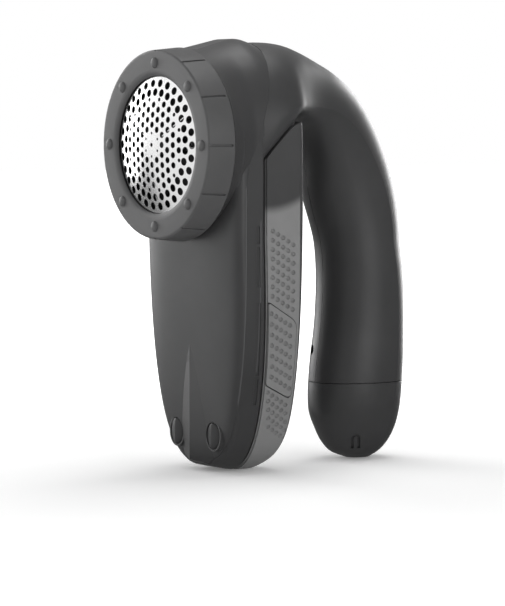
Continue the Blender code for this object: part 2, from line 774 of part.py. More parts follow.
def housing_hollow():
    """The room inside the housing: arch and handle, motor bay and the duct down the arm."""
    room = arch_solid("room", inset=WALL, outer_points=5, inner_points=6)
    limit = box_side("box_skin", rear=ARM_REAR_Y + 3 * WALL)
    limit.data.transform(Matrix.Translation((0, -1.5 * WALL, WALL)))
    cut(room, limit)
    duct = arm_solid("duct", inset=WALL, rings=(0, 0.4, 0.7, 0.88, 1))
    keep_common(duct, ahead_of_groove("duct_part", -GROOVE - WEB))
    keep_common(duct, block("duct_top", (-BEYOND, BEYOND), (-BEYOND, BEYOND), (-BEYOND, RING_Z)))
    join(room, duct)
    half = BAY_HALF_WIDTH - WEB
    bay_y, bay_z = (0.020, BAY_REAR_Y - WEB), (BAY_BOTTOM_Z + WEB, RING_Z + 0.016)
    join(room, block("bay_room", (-half, half), bay_y, bay_z))
    for y, z in CASE_SCREWS:
        cut(room, rod("boss", (-BEYOND, y, z), (BEYOND, y, z), BOSS_R, 12))
    return room


def make_housing_halves():
    """The two halves of the housing, with screw bosses across the split."""
    shell = make_housing()
    cut(shell, housing_hollow())
    port_y = (GROOVE_Y - 0.008, GROOVE_Y + 0.004)
    cut(shell, block("port", (-PORT_HALF_WIDTH, PORT_HALF_WIDTH), port_y, PORT_Z))
    cut(shell, rod("jack_hole", (JACK_X, GAP_Y, JACK_Z), (JACK_X, JACK_Y[1] + RUN, JACK_Z), JACK_R + FIT, 20))
    cut(shell, switch_block("switch_track", 0.0100, 0.0050, -0.0008, 0.003))
    cut(shell, switch_block("switch_slot", 0.0045, 0.0020, -0.005, 0.003))
    cut(shell, handle_slice("cap_room", -BEYOND, CAP_SEAM_Z))
    halves = []
    for name, side in (("housing_right", 1), ("housing_left", -1)):
        half = duplicate(shell, name)
        x = sorted((side * FIT / 2, side * BEYOND))
        keep_common(half, block("half", x, (-BEYOND, BEYOND), (-BEYOND, BEYOND)))
        halves.append(half)
    bpy.data.objects.remove(shell, do_unlink=True)
    right, left = halves
    for y, z in CASE_SCREWS:
        cut(right, rod("blind", (-0.001, y, z), (0.0115, y, z), SCREW_R + FIT, 10))
        through = rod("through", (-2 * SCREW_SEAT, y, z), (0.001, y, z), SCREW_R + FIT, 10)
        recess = rod("recess", (-2 * HALF_WIDTH, y, z), (-SCREW_SEAT, y, z), SCREW_HEAD_R + FIT, 12)
        cut(left, join(recess, through))
    return right, left


def handle_slice(name, low, high):
    """Everything behind the finger gap between two heights."""
    return block(name, (-BEYOND, BEYOND), (GAP_Y, 2 * BEYOND), (low, high))


def make_case_screw(name, y, z):
    """A screw whose head sits in the left half and whose shank ends in the right one."""
    top = -SCREW_SEAT - FIT - 0.0021
    screw = rod(name, (-SCREW_SEAT - FIT, y, z), (top, y, z), SCREW_HEAD_R, 12)
    join(screw, rod("shank", (top + 0.0009, y, z), (0.0110, y, z), SCREW_R, 10))
    cut(screw, block("drive", (top - 0.0006, top + 0.0008), (y - 0.0018, y + 0.0018), (z - FIT, z + FIT)))
    return screw


def on_spine(along, across, out):
    """A point by the thumb switch: along the spine downwards, across, and out of its surface."""
    y = ARCH_Y + ARCH_RUN * math.cos(SWITCH_ANGLE)
    z = ARCH_Z + ARCH_RISE * math.sin(SWITCH_ANGLE)
    lean = math.atan2(math.cos(SWITCH_ANGLE) / ARCH_RUN, math.sin(SWITCH_ANGLE) / ARCH_RISE)
    out_y, out_z = math.sin(lean), math.cos(lean)
    return (across, y + along * out_z + out * out_y, z - along * out_y + out * out_z)


def switch_block(name, half_length, half_width, low, high, shift=0.0):
    """A block in the frame of the thumb switch."""
    rings = []
    for out in (low, high):
        ring = []
        for along, across in ((-1, -1), (1, -1), (1, 1), (-1, 1)):
            ring.append(on_spine(along * half_length + shift, across * half_width, out))
        rings.append(ring)
    return loft(name, rings)


def make_switch_knob():
    """The thumb slide: a ribbed pad on a stem that passes through the slot."""
    shift = -SWITCH_TRAVEL / 2
    knob = switch_block("power_slide", 0.0062, 0.0045, -0.0008 + FIT, 0.0010, shift)
    join(knob, switch_block("stem", 0.0025, 0.0016, -0.0040, 0.0005, shift))
    for i in range(4):
        at = shift - 0.0045 + 0.003 * i
        join(knob, switch_block("rib", 0.0005, 0.0036, 0.0005, 0.0015, at))
    return knob


def make_switch_body():
    """The electrical switch under the slot, with a well for the stem."""
    body = switch_block("switch_body", 0.0080, 0.0040, -0.0085, -0.0034)
    cut(body, switch_block("well", 0.0048, 0.0021, -0.0050, 0.001))
    return body


def make_battery_cap():
    """The end of the handle: a cup with a spigot that enters the housing."""
    cap = arch_solid("battery_cap")
    keep_common(cap, handle_slice("low", -BEYOND, CAP_SEAM_Z - FIT))
    spigot = arch_solid("spigot", inset=WALL + FIT, outer_points=5, inner_points=6)
    keep_common(spigot, handle_slice("rim", CAP_SEAM_Z - SPIGOT, CAP_SEAM_Z + SPIGOT))
    join(cap, spigot)
    mouth = arch_solid("mouth", inset=2 * WALL - FIT, outer_points=5, inner_points=6)
    keep_common(mouth, handle_slice("high", CAP_SEAM_Z - 1.6 * SPIGOT, BEYOND))
    room = arch_solid("room", inset=WALL, outer_points=5, inner_points=6)
    keep_common(room, handle_slice("low", CAP_FLOOR_Z, CAP_SEAM_Z - 1.1 * SPIGOT))
    cut(cap, join(room, mouth))
    return cut(cap, notch_form())


def notch_form():
    """The round-topped thumb notch low on the cap, cut to an even depth."""
    low, high = NOTCH_Z
    reach = (NOTCH_HALF_WIDTH * 3, CELL_R * 2)
    notch = block("notch", reach, (-NOTCH_HALF_WIDTH, NOTCH_HALF_WIDTH), (low, high))
    join(notch, rod("notch_top", (reach[0], 0, high), (reach[1], 0, high), NOTCH_HALF_WIDTH, 14))
    notch.data.transform(Matrix.Translation((0, CELL_Y - WALL, 0)) @ Matrix.Rotation(NOTCH_ANGLE, 4, "Z"))
    return cut(notch, arch_solid("notch_floor", inset=NOTCH_DEPTH))


def make_cradle():
    """The tube that holds the cells, with flanges that fit the inside of the handle."""
    bottom = CAP_SEAM_Z + SPIGOT + 0.003
    top = CELL_BOTTOM_Z + 2 * CELL_LENGTH + 0.0035
    outer_r = CELL_R + RUN + CRADLE_WALL
    cradle = rod("battery_cradle", (0, CELL_Y, bottom), (0, CELL_Y, top), outer_r, 28)
    for z in (bottom + 0.002, top - 0.017):
        flange = arch_solid("flange", inset=WALL + FIT, outer_points=5, inner_points=6)
        keep_common(flange, handle_slice("slice", z, z + 0.0016))
        join(cradle, flange)
    cut(cradle, rod("bore", (0, CELL_Y, 0.0), (0, CELL_Y, top - 0.0014), CELL_R + RUN, 28))
    return cradle


def make_cell(name, bottom):
    """One cell: a can with a chamfered foot and a contact nub on top."""
    top = bottom + CELL_LENGTH - FIT
    rings = []
    for radius, z in (
        (CELL_R - 0.0006, bottom),
        (CELL_R, bottom + 0.0006),
        (CELL_R, top - 0.0024),
        (CELL_R - 0.0008, top - 0.0016),
        (0.0032, top - 0.0016),
        (0.0032, top),
    ):
        ring = []
        for i in range(24):
            angle = 2 * math.pi * i / 24
            ring.append((radius * math.cos(angle), CELL_Y + radius * math.sin(angle), z))
        rings.append(ring)
    return loft(name, rings)


def make_contact_plate():
    """The sprung plate over the upper cell."""
    z = CELL_BOTTOM_Z + 2 * CELL_LENGTH
    plate = rod("contact_plate", (0, CELL_Y, z), (0, CELL_Y, z + 0.0006), 0.0085, 20)
    join(plate, block("tab", (-0.002, 0.002), (CELL_Y, CELL_Y + 0.0125), (z + 0.0001, z + 0.0005)))
    return plate


def make_cap_spring():
    """The conical contact spring between cap and lower cell, one unbroken tube."""
    turns = 3.0
    radius = 0.0006
    low, high = CAP_FLOOR_Z + FIT + 1.3 * radius, CELL_BOTTOM_Z - FIT - 1.3 * radius
    points = []
    steps = int(turns * 12)
    for i in range(steps + 1):
        t = i / steps
        reach = 0.0062 - 0.0022 * t
        angle = 2 * math.pi * turns * t
        climb = low + (high - low) * t
        points.append((reach * math.cos(angle), CELL_Y + reach * math.sin(angle), climb))
    return wire("cap_spring", points, radius)


def wire(name, points, radius, sides=6):
    """A round wire along a list of points, square-ended."""
    points = [Vector(p) for p in points]
    rings = []
    for i, point in enumerate(points):
        ahead = points[min(i + 1, len(points) - 1)]
        behind = points[max(i - 1, 0)]
        along = (ahead - behind).normalized()
        side = along.cross(Vector((0, 0, 1))).normalized()
        if side.length < 0.5:
            side = Vector((1, 0, 0))
        up = side.cross(along)
        ring = []
        for k in range(sides):
            angle = 2 * math.pi * k / sides
            ring.append(point + radius * (math.cos(angle) * side + math.sin(angle) * up))
        rings.append(ring)
    return loft(name, rings)


def make_jack():
    """The power inlet: a barrel with a centre pin, facing the fingers."""
    front, back = JACK_Y
    jack = rod("power_inlet", (JACK_X, front, JACK_Z), (JACK_X, back, JACK_Z), JACK_R, 20)
    bore_r = JACK_R - 0.0011
    cut(jack, rod("socket", (JACK_X, front - 0.002, JACK_Z), (JACK_X, back - 0.0014, JACK_Z), bore_r, 16))
    join(jack, rod("pin", (JACK_X, front + 0.0008, JACK_Z), (JACK_X, back - 0.0007, JACK_Z), 0.0007, 8))
    return jack


def make_chamber():
    """The cup round the cutter, with a floor for the motor and a lint outlet below."""
    wall_r = CHAMBER_R - WALL
    floor = CHAMBER_FLOOR_Y
    profile = [
        (wall_r, CHAMBER_FRONT_Y),
        (CHAMBER_R, CHAMBER_FRONT_Y),
        (CHAMBER_R, CHAMBER_FRONT_Y + 0.0030),
        (CHAMBER_FLANGE_R, CHAMBER_FRONT_Y + 0.0030),
        (CHAMBER_FLANGE_R, CHAMBER_FRONT_Y + 0.0050),
        (CHAMBER_R, CHAMBER_FRONT_Y + 0.0050),
        (CHAMBER_R, floor + WALL - 0.004),
        (CHAMBER_R - 0.004, floor + WALL),
        (CHAMBER_BORE_R, floor + WALL),
        (CHAMBER_BORE_R, floor),
        (wall_r - 0.0035, floor),
        (wall_r, floor - 0.0035),
    ]
    cup = turned("cutter_chamber", profile, 36)
    outlet = block("outlet", (-0.014, 0.014), (0.0125, 0.0178), (RING_Z - 0.040, RING_Z - 0.027))
    cut(cup, outlet)
    for side in (-1, 1):
        x = side * MOTOR_SCREW_X
        hole_r = MOTOR_SCREW_R + RUN
        cut(cup, rod("hole", (x, CHAMBER_FRONT_Y, RING_Z), (x, MOTOR_Y, RING_Z), hole_r, 10))
    return cup


def motor_flats(obj, depth, y):
    """Cuts a flat above and below a round motor piece."""
    for side in (-1, 1):
        z = sorted((RING_Z + side * (MOTOR_R - depth), RING_Z + side * 2 * MOTOR_R))
        cut(obj, block("flat", (-2 * MOTOR_R, 2 * MOTOR_R), y, z))
    return obj


def make_motor_can():
    """The motor's steel can with its front boss and shaft bore."""
    bore_r = SHAFT_R + FIT
    boss_r = CHAMBER_BORE_R - RUN
    rear = MOTOR_REAR_Y - MOTOR_CAP
    profile = [
        (bore_r, MOTOR_Y - 0.0012),
        (boss_r, MOTOR_Y - 0.0012),
        (boss_r, MOTOR_Y),
        (MOTOR_R - 0.001, MOTOR_Y),
        (MOTOR_R, MOTOR_Y + 0.001),
        (MOTOR_R, rear),
        (bore_r, rear),
    ]
    can = turned("motor_can", profile, 28)
    thread_r = MOTOR_SCREW_R + FIT
    for side in (-1, 1):
        x = side * MOTOR_SCREW_X
        cut(can, rod("thread", (x, CHAMBER_FRONT_Y, RING_Z), (x, MOTOR_Y + 0.004, RING_Z), thread_r, 10))
    return motor_flats(can, MOTOR_FLAT, (CHAMBER_FRONT_Y, 2 * MOTOR_REAR_Y))


def make_motor_cap():
    """The plastic end of the motor, with two terminals."""
    rear = MOTOR_REAR_Y
    edge_r = MOTOR_R - 0.0006
    profile = [(edge_r, rear - MOTOR_CAP + FIT), (edge_r, rear - 0.0006), (edge_r - 0.0006, rear)]
    cap = turned("motor_end_cap", profile, 28, closed=False)
    motor_flats(cap, MOTOR_FLAT + 0.0002, (MOTOR_Y, 2 * MOTOR_REAR_Y))
    for side in (-1, 1):
        x = side * 0.0085
        thick, high = (x - 0.0003, x + 0.0003), (RING_Z - 0.0015, RING_Z + 0.0015)
        join(cap, block("terminal", thick, (rear - 0.001, rear + 0.0028), high))
    return cap


def make_motor_screw(name, side):
    """A short screw through the chamber's floor into the motor."""
    x = side * MOTOR_SCREW_X
    seat = CHAMBER_FLOOR_Y - FIT
    screw = rod(name, (x, seat, RING_Z), (x, seat - 0.0013, RING_Z), MOTOR_SCREW_HEAD_R, 12)
    shank = rod("shank", (x, seat - 0.0007, RING_Z), (x, MOTOR_Y + 0.0035, RING_Z), MOTOR_SCREW_R, 10)
    return join(screw, shank)


def make_shaft():
    """The motor shaft, from inside the can to the cutter hub."""
    return rod("motor_shaft", (0, HUB_Y + 0.0022, RING_Z), (0, MOTOR_Y + 0.020, RING_Z), SHAFT_R, 12)


def blade_turn(index):
    """Turns a piece made on the +X side to one of the blade places round the axis."""
    angle = 2 * math.pi * index / BLADE_COUNT + math.pi / 2
    return Matrix.Translation((0, 0, RING_Z)) @ Matrix.Rotation(angle, 4, "Y")


def make_cutter_hub():
    """The rotor: a hub with three slotted arms behind the foil."""
    back = HUB_Y + HUB_DEPTH
    profile = [(HUB_R, back), (HUB_R, HUB_Y + 0.0014), (HUB_R - 0.0012, HUB_Y), (0.002, HUB_Y - 0.0006)]
    hub = turned("cutter_hub", profile, 24, closed=False)
    arm_x, arm_y = (0.003, BLADE_OUTER_R - 0.0012), (HUB_Y + 0.0006, HUB_Y + BLADE_SLOT + 0.002)
    for i in range(BLADE_COUNT):
        arm = block("arm", arm_x, arm_y, (-ARM_BLOCK / 2, ARM_BLOCK / 2))
        arm.data.transform(blade_turn(i))
        join(hub, arm)
    slot = BLADE_THICKNESS / 2 + FIT
    slot_x, slot_y = (HUB_R * 0.55, BLADE_OUTER_R + 0.0035), (-HUB_Y, HUB_Y + BLADE_SLOT)
    for i in range(BLADE_COUNT):
        groove = block("slot", slot_x, slot_y, (-slot, slot))
        groove.data.transform(blade_turn(i))
        cut(hub, groove)
    bore_y = HUB_Y + 0.0022 - FIT
    cut(hub, rod("bore", (0, bore_y, RING_Z), (0, 2 * back, RING_Z), SHAFT_R + 0.00005, 12))
    well_in, well_out = SPRING_WELL
    well = [(well_out, back + 0.001), (well_out, back - 0.003), (well_in, back - 0.003), (well_in, back + 0.001)]
    return cut(hub, turned("spring_well", well, 20))


def make_blade(name, index):
    """A steel blade on edge, whose front follows the foil's dome."""
    start = HUB_R * 0.55 + FIT
    back = HUB_Y + BLADE_SLOT - FIT
    half = BLADE_THICKNESS / 2
    steps = 8
    rings = []
    for i in range(steps + 1):
        x = start + (BLADE_OUTER_R - start) * i / steps
        front = foil_y(x, FOIL_THICKNESS + FIT)
        edge = [(x, front, 0), (x, front + 0.0006, half), (x, back, half)]
        rings.append(edge + [(x, back, -half), (x, front + 0.0001, -half)])
    blade = loft(name, rings)
    blade.data.transform(blade_turn(index))
    return blade


def make_cutter_spring():
    """The coil that presses the rotor forward, round the shaft behind the hub."""
    low, high = HUB_Y + HUB_DEPTH - 0.0025, CHAMBER_FLOOR_Y - 0.0024
    turns = 3
    steps = turns * 10
    points = []
    for i in range(steps + 1):
        t = i / steps
        angle = 2 * math.pi * turns * t
        x, z = SPRING_R * math.cos(angle), SPRING_R * math.sin(angle)
        points.append((x, z, low + (high - low) * t))
    spring = wire("cutter_spring", points, SPRING_WIRE, 5)
    spring.data.transform(Matrix.Translation((0, 0, RING_Z)) @ Matrix.Rotation(-math.pi / 2, 4, "X"))
    return spring


def button_outline(grow=0.0):
    """The outline of the squeeze button, made larger by grow, as (y, z) points with clipped corners."""
    front, rear = BUTTON_Y
    top_fall = (BUTTON_TOP_Z[0] - BUTTON_TOP_Z[1]) / (rear - front)
    low_fall = (BUTTON_LOW_Z[0] - BUTTON_LOW_Z[1]) / (rear - front)
    corners = []
    for at_rear, at_top in ((0, 0), (1, 0), (1, 1), (0, 1)):
        level = (BUTTON_TOP_Z if at_top else BUTTON_LOW_Z)[at_rear]
        fall = top_fall if at_top else low_fall
        shift = grow if at_rear else GROOVE_LEAN * fall_back(level) - grow
        away = grow * math.hypot(1, fall)
        z = level - fall * shift + (away if at_top else -away)
        corners.append((BUTTON_Y[at_rear] + shift, z, BUTTON_CLIP[at_rear] + 0.4 * grow))
    points = []
    for i, (y, z, clip) in enumerate(corners):
        for other in (corners[i - 1], corners[(i + 1) % 4]):
            dy, dz = other[0] - y, other[1] - z
            length = math.hypot(dy, dz)
            points.append((y + dy / length * clip, z + dz / length * clip))
    return points


def skin_slice(name, outline, outer, inner):
    """A curved slab of the arm's right side, between two insets, within a (y, z) outline."""
    rear = ARM_REAR_Y + 0.0184
    slab = side_prism(name, outline, (HALF_WIDTH / 3, 2 * HALF_WIDTH))
    keep_common(slab, arm_solid("outer_skin", inset=outer, rear=rear, rings=(0, 0.5, 1)))
    cut(slab, arm_solid("inner_skin", inset=inner, rear=rear + 4 * inner, rings=(0, 0.5, 1)))
    return slab


def make_button():
    """The right squeeze button: a proud pad on a wider flange behind the panel."""
    pad = skin_slice("release_button_right", button_outline(), -BUTTON_PROUD, WALL + 0.0008)
    flange = skin_slice("flange", button_outline(BUTTON_LIP), WALL + FIT, WALL + FIT + BUTTON_FLANGE)
    return join(pad, flange)


def make_lint_box():
    """The scoop behind the arm that collects lint, with a pocket for each button."""
    box = arm_solid("lint_box")
    keep_common(box, box_side("box_part", gap=GROOVE, rear=ARM_REAR_Y + WALL))
    room = arm_solid("room", inset=WALL, rings=(0, 0.5, 1))
    depth = WALL + FIT + BUTTON_FLANGE + BUTTON_TRAVEL + RUN
    pocket_grow = BUTTON_LIP + RUN
    for side in (1, -1):
        walls = button_outline(pocket_grow + POCKET_WALL)
        cut(room, on_side(skin_slice("pocket", walls, WALL - 0.0004, depth + POCKET_WALL), side))
    cut(box, room)
    bay_x = BAY_HALF_WIDTH + RUN
    bay_y, bay_z = (0.02, BAY_REAR_Y + RUN), (BAY_BOTTOM_Z - RUN, RING_Z + 0.03)
    cut(box, block("bay_clearance", (-bay_x, bay_x), bay_y, bay_z))
    for side in (1, -1):
        hollow = skin_slice("hollow", button_outline(pocket_grow), WALL, depth)
        window = skin_slice("window", button_outline(FIT + 0.0001), -WALL, depth - 0.001)
        cut(box, on_side(join(hollow, window), side))
    return box


def on_side(obj, side):
    """A solid of the right side as it is, or its mirror image in its place for the left side."""
    if side > 0:
        return obj
    flipped = mirrored(obj, obj.name + "_left")
    bpy.data.objects.remove(obj, do_unlink=True)
    return flipped


def set_origin(obj, point):
    """Moves an object's origin to a point, with its shape left where it is."""
    point = Vector(point)
    obj.data.transform(Matrix.Translation(-point))
    obj.location = point


def finish(obj, material, frame, origin=None, sharp=35):
    """Gives a piece its material and shading, and hangs it on the frame."""
    obj.data.materials.clear()
    obj.data.materials.append(material)
    obj.data.shade_smooth()
    obj.data.set_sharp_from_angle(angle=math.radians(sharp))
    if origin is not None:
        set_origin(obj, origin)
    obj.parent = frame


def build():
    """Makes every piece of the shaver."""
    clear_scene()
    plastic = make_material("dark_plastic", (0.085, 0.085, 0.088), 0.45)
    ring_plastic = make_material("ring_plastic", (0.13, 0.13, 0.135), 0.5)
    box_plastic = make_material("box_plastic", (0.19, 0.19, 0.195), 0.4)
    inner_plastic = make_material("inner_plastic", (0.05, 0.05, 0.052), 0.6)
    steel = make_material("steel", (0.75, 0.75, 0.76), 0.22, 1.0)
    wrap = make_material("cell_wrap", (0.10, 0.22, 0.14), 0.4)
    frame = bpy.data.objects.new("shaver_frame", None)
    frame.location = (0, -ORIGIN_Y, 0)
    bpy.context.scene.collection.objects.link(frame)

    head = (0, 0, RING_Z)
    finish(make_guard_ring(), ring_plastic, frame, head)
    finish(make_foil(), steel, frame, head)
    finish(make_foil_frame(), inner_plastic, frame, head)
    finish(make_front_cover(), plastic, frame)
    finish(make_stud("glide_stud_left", -1), inner_plastic, frame)
    finish(make_stud("glide_stud_right", 1), inner_plastic, frame)
    right, left = make_housing_halves()
    finish(right, plastic, frame)
    finish(left, plastic, frame)
    for i, (y, z) in enumerate(CASE_SCREWS):
        finish(make_case_screw(f"case_screw_{i + 1}", y, z), steel, frame)

    finish(make_lint_box(), box_plastic, frame)
    button = make_button()
    finish(mirrored(button, "release_button_left"), box_plastic, frame)
    finish(button, box_plastic, frame)

    finish(make_chamber(), inner_plastic, frame)
    finish(make_motor_can(), steel, frame)
    finish(make_motor_cap(), inner_plastic, frame)
    finish(make_motor_screw("motor_screw_left", -1), steel, frame)
    finish(make_motor_screw("motor_screw_right", 1), steel, frame)
    finish(make_shaft(), steel, frame, head)
    finish(make_cutter_hub(), inner_plastic, frame, head)
    for i in range(BLADE_COUNT):
        finish(make_blade(f"cutter_blade_{i + 1}", i), steel, frame, head)
    finish(make_cutter_spring(), steel, frame, head)

    finish(make_switch_knob(), inner_plastic, frame, on_spine(0, 0, 0))
    finish(make_switch_body(), inner_plastic, frame)
    finish(make_jack(), inner_plastic, frame)
    finish(make_battery_cap(), plastic, frame)
    finish(make_cap_spring(), steel, frame)
    finish(make_cradle(), inner_plastic, frame)
    finish(make_cell("cell_lower", CELL_BOTTOM_Z), wrap, frame)
    finish(make_cell("cell_upper", CELL_BOTTOM_Z + CELL_LENGTH), wrap, frame)
    finish(make_contact_plate(), steel, frame)


build()
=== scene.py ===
"""Looks of the electric fabric shaver.

Lengths are in metres, +Z up. Shapes are worked out with y counted backwards from the
front face of the guard ring and +X towards the shaver's right side. Each finished mesh
is then moved by FACE_Y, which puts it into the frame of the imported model.
"""

import logging
import math
from collections.abc import Mapping, Sequence
from dataclasses import dataclass
from enum import Enum

import bmesh
import bpy
import numpy as np
from mathutils import Matrix, Vector


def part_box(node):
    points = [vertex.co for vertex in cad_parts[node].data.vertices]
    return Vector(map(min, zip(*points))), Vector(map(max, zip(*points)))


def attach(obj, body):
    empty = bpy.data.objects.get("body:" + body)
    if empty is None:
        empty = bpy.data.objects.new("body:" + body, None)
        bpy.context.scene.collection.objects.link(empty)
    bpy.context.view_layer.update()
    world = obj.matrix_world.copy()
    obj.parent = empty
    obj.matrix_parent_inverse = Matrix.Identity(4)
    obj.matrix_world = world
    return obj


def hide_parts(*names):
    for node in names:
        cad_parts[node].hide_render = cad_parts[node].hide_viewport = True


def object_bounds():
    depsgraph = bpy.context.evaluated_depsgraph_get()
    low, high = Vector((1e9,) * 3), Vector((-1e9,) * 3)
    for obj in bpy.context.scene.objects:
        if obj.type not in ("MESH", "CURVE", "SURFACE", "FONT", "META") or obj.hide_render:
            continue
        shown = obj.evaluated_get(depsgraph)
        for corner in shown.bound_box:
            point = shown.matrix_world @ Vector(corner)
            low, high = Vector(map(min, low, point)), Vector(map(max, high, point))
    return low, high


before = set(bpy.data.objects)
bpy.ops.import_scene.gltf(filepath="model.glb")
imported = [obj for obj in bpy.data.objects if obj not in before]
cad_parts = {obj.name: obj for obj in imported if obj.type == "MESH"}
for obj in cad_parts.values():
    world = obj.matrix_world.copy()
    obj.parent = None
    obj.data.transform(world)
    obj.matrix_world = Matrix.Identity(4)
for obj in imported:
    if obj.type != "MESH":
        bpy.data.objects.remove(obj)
CAD_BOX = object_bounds()

Array = np.ndarray
Pair = tuple[float, float]
Triple = tuple[float, float, float]
Colour = tuple[float, float, float, float]
Outline = Sequence[Pair]
LOG = logging.getLogger("fabric_shaver")

FIT = 0.0003
RUN = 0.0005
WALL = 0.002
RING_Z = 0.1495
FOIL_PROUD = 0.0017
COLLAR_R = 0.0400
FACE_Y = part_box("foil")[0].y + FOIL_PROUD
THROUGH = (-0.06, 0.06)
FAR = 0.3
WHITE = (1.0, 1.0, 1.0)


# Mesh tools


class Step(Enum):
    """What a Boolean step does with its tool."""

    CUT = "DIFFERENCE"
    JOIN = "UNION"
    SHARE = "INTERSECT"


@dataclass
class Solid:
    """A closed mesh that takes the shape of a piece step by step."""

    obj: bpy.types.Object

    @classmethod
    def skin(cls, name: str, grid: Array, hoop: bool = False) -> "Solid":
        """Skins one or more grids of points whose columns close round.

        Point (i, j) joins (i, j + 1), (i + 1, j + 1) and (i + 1, j) in one face. The first
        and last rows get a flat cap, or meet each other where the grid is a hoop.

        Args:
            name: name of the new object.
            grid: points as (rows, columns, 3), or (copies, rows, columns, 3).
            hoop: whether the last row joins the first.

        Returns:
            The solid, with its faces turned outwards.
        """
        copies = grid.reshape(-1, *grid.shape[-3:])
        rows, columns = copies.shape[1:3]
        index = np.arange(rows * columns).reshape(rows, columns)
        if hoop:
            index = np.vstack([index, index[:1]])
        right = np.roll(index, -1, axis=1)
        quads = np.stack([index[:-1], right[:-1], right[1:], index[1:]], axis=-1).reshape(-1, 4)
        shift = rows * columns * np.arange(len(copies))[:, None, None]
        faces = (quads[None] + shift).reshape(-1, 4).tolist()
        if not hoop:
            faces += (index[[0, -1]][None] + shift).reshape(-1, columns).tolist()
        mesh = bpy.data.meshes.new(name)
        mesh.from_pydata(copies.reshape(-1, 3), [], faces)
        shape = bmesh.new()
        shape.from_mesh(mesh)
        bmesh.ops.remove_doubles(shape, verts=shape.verts, dist=1e-7)
        bmesh.ops.recalc_face_normals(shape, faces=shape.faces)
        shape.to_mesh(mesh)
        shape.free()
        obj = bpy.data.objects.new(name, mesh)
        bpy.context.scene.collection.objects.link(obj)
        return cls(obj)

    def combine(self, tool: "Solid", step: Step) -> "Solid":
        """Cuts, joins or intersects this solid with a tool, which is used up."""
        change = self.obj.modifiers.new(step.name.lower(), "BOOLEAN")
        change.operation = step.value
        change.solver = "EXACT"
        change.object = tool.obj
        bpy.context.view_layer.update()
        graph = bpy.context.evaluated_depsgraph_get()
        shaped = bpy.data.meshes.new_from_object(self.obj.evaluated_get(graph))
        self.obj.modifiers.clear()
        self.obj.data = shaped
        bpy.data.objects.remove(tool.obj, do_unlink=True)
        return self

    def cut(self, tool: "Solid") -> "Solid":
        """Takes the tool away from this solid."""
        return self.combine(tool, Step.CUT)

    def join(self, tool: "Solid") -> "Solid":
        """Unites the tool with this solid."""
        return self.combine(tool, Step.JOIN)

    def share(self, tool: "Solid") -> "Solid":
        """Keeps only what this solid shares with the tool."""
        return self.combine(tool, Step.SHARE)

    def copy(self, name: str) -> "Solid":
        """A second solid with its own mesh."""
        twin = bpy.data.objects.new(name, self.obj.data.copy())
        bpy.context.scene.collection.objects.link(twin)
        return Solid(twin)

    def mirror(self) -> "Solid":
        """Turns this solid over to the other side of the middle plane."""
        self.move(Matrix.Scale(-1, 4, (1, 0, 0))).obj.data.flip_normals()
        return self

    def on_side(self, side: int) -> "Solid":
        """This solid for side 1, or turned over to the left for side -1."""
        return self if side > 0 else self.mirror()

    def move(self, change: Matrix) -> "Solid":
        """Moves this solid's mesh by a matrix."""
        self.obj.data.transform(change)
        return self

    def points(self) -> Array:
        """The mesh's points as one (count, 3) array."""
        found = np.empty(len(self.obj.data.vertices) * 3)
        self.obj.data.vertices.foreach_get("co", found)
        return found.reshape(-1, 3)

    def set_points(self, points: Array) -> None:
        """Moves the mesh's points to new places."""
        self.obj.data.vertices.foreach_set("co", points.ravel())
        self.obj.data.update()

    def dress(
        self, finish: bpy.types.Material, body: str, slot: str, nodes: Sequence[str], sharp: float
    ) -> None:
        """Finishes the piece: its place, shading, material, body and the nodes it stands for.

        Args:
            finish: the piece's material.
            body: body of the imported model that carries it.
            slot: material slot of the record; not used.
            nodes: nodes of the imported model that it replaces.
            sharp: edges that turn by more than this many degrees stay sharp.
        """
        points = self.points() + (0.0, FACE_Y, 0.0)
        self.set_points(np.clip(points, np.array(CAD_BOX[0]), np.array(CAD_BOX[1])))
        mesh = self.obj.data
        mesh.shade_smooth()
        mesh.set_sharp_from_angle(angle=math.radians(sharp))
        mesh.materials.clear()
        mesh.materials.append(finish)
        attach(self.obj, body)
        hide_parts(*nodes)
        triangles = sum(len(face.vertices) - 2 for face in mesh.polygons)
        LOG.info("%s: %d triangles, rides on %s", self.obj.name, triangles, body)


def spread(x: Array, y: Array, z: Array) -> Array:
    """Points whose coordinates are three arrays that broadcast to one shape."""
    return np.stack(np.broadcast_arrays(x, y, z), -1)


def around(count: int) -> Array:
    """Angles spaced evenly round a full turn, from 0."""
    return np.linspace(0, 2 * np.pi, count, endpoint=False)


def both_sides(half: Array) -> Array:
    """A closed outline: its right half from end to end, and the mirror image back."""
    return np.vstack([half, (half[1:-1] * (-1, 1))[::-1]])


def prism(name: str, outline: Array | Outline, span: Sequence[float]) -> Solid:
    """An outline in (y, z) carried across between two values of x."""
    y, z = np.asarray(outline, float).T
    return Solid.skin(name, spread(np.asarray(span, float)[:, None], y, z))


def block(name: str, x: Sequence[float], y: Sequence[float], z: Sequence[float]) -> Solid:
    """A box between two values on each axis."""
    return prism(name, [(y[0], z[0]), (y[1], z[0]), (y[1], z[1]), (y[0], z[1])], x)


def turned(name: str, profile: Array | Outline, columns: int, hoop: bool = True) -> Solid:
    """A profile turned about the head's front-to-back axis.

    A profile point (r, y) goes to (r cos a, y, RING_Z + r sin a) for each angle a.

    Args:
        name: name of the new object.
        profile: (radius, y) points.
        columns: number of angles.
        hoop: whether the profile closes on itself. If not, both its ends get a cap.

    Returns:
        The solid.
    """
    flat = np.asarray(profile, float)
    angle = around(columns)
    radius, back = flat[:, :1], flat[:, 1:]
    grid = spread(radius * np.cos(angle), back, RING_Z + radius * np.sin(angle))
    if hoop:
        return Solid.skin(name, grid.transpose(1, 0, 2), hoop=True)
    return Solid.skin(name, grid)


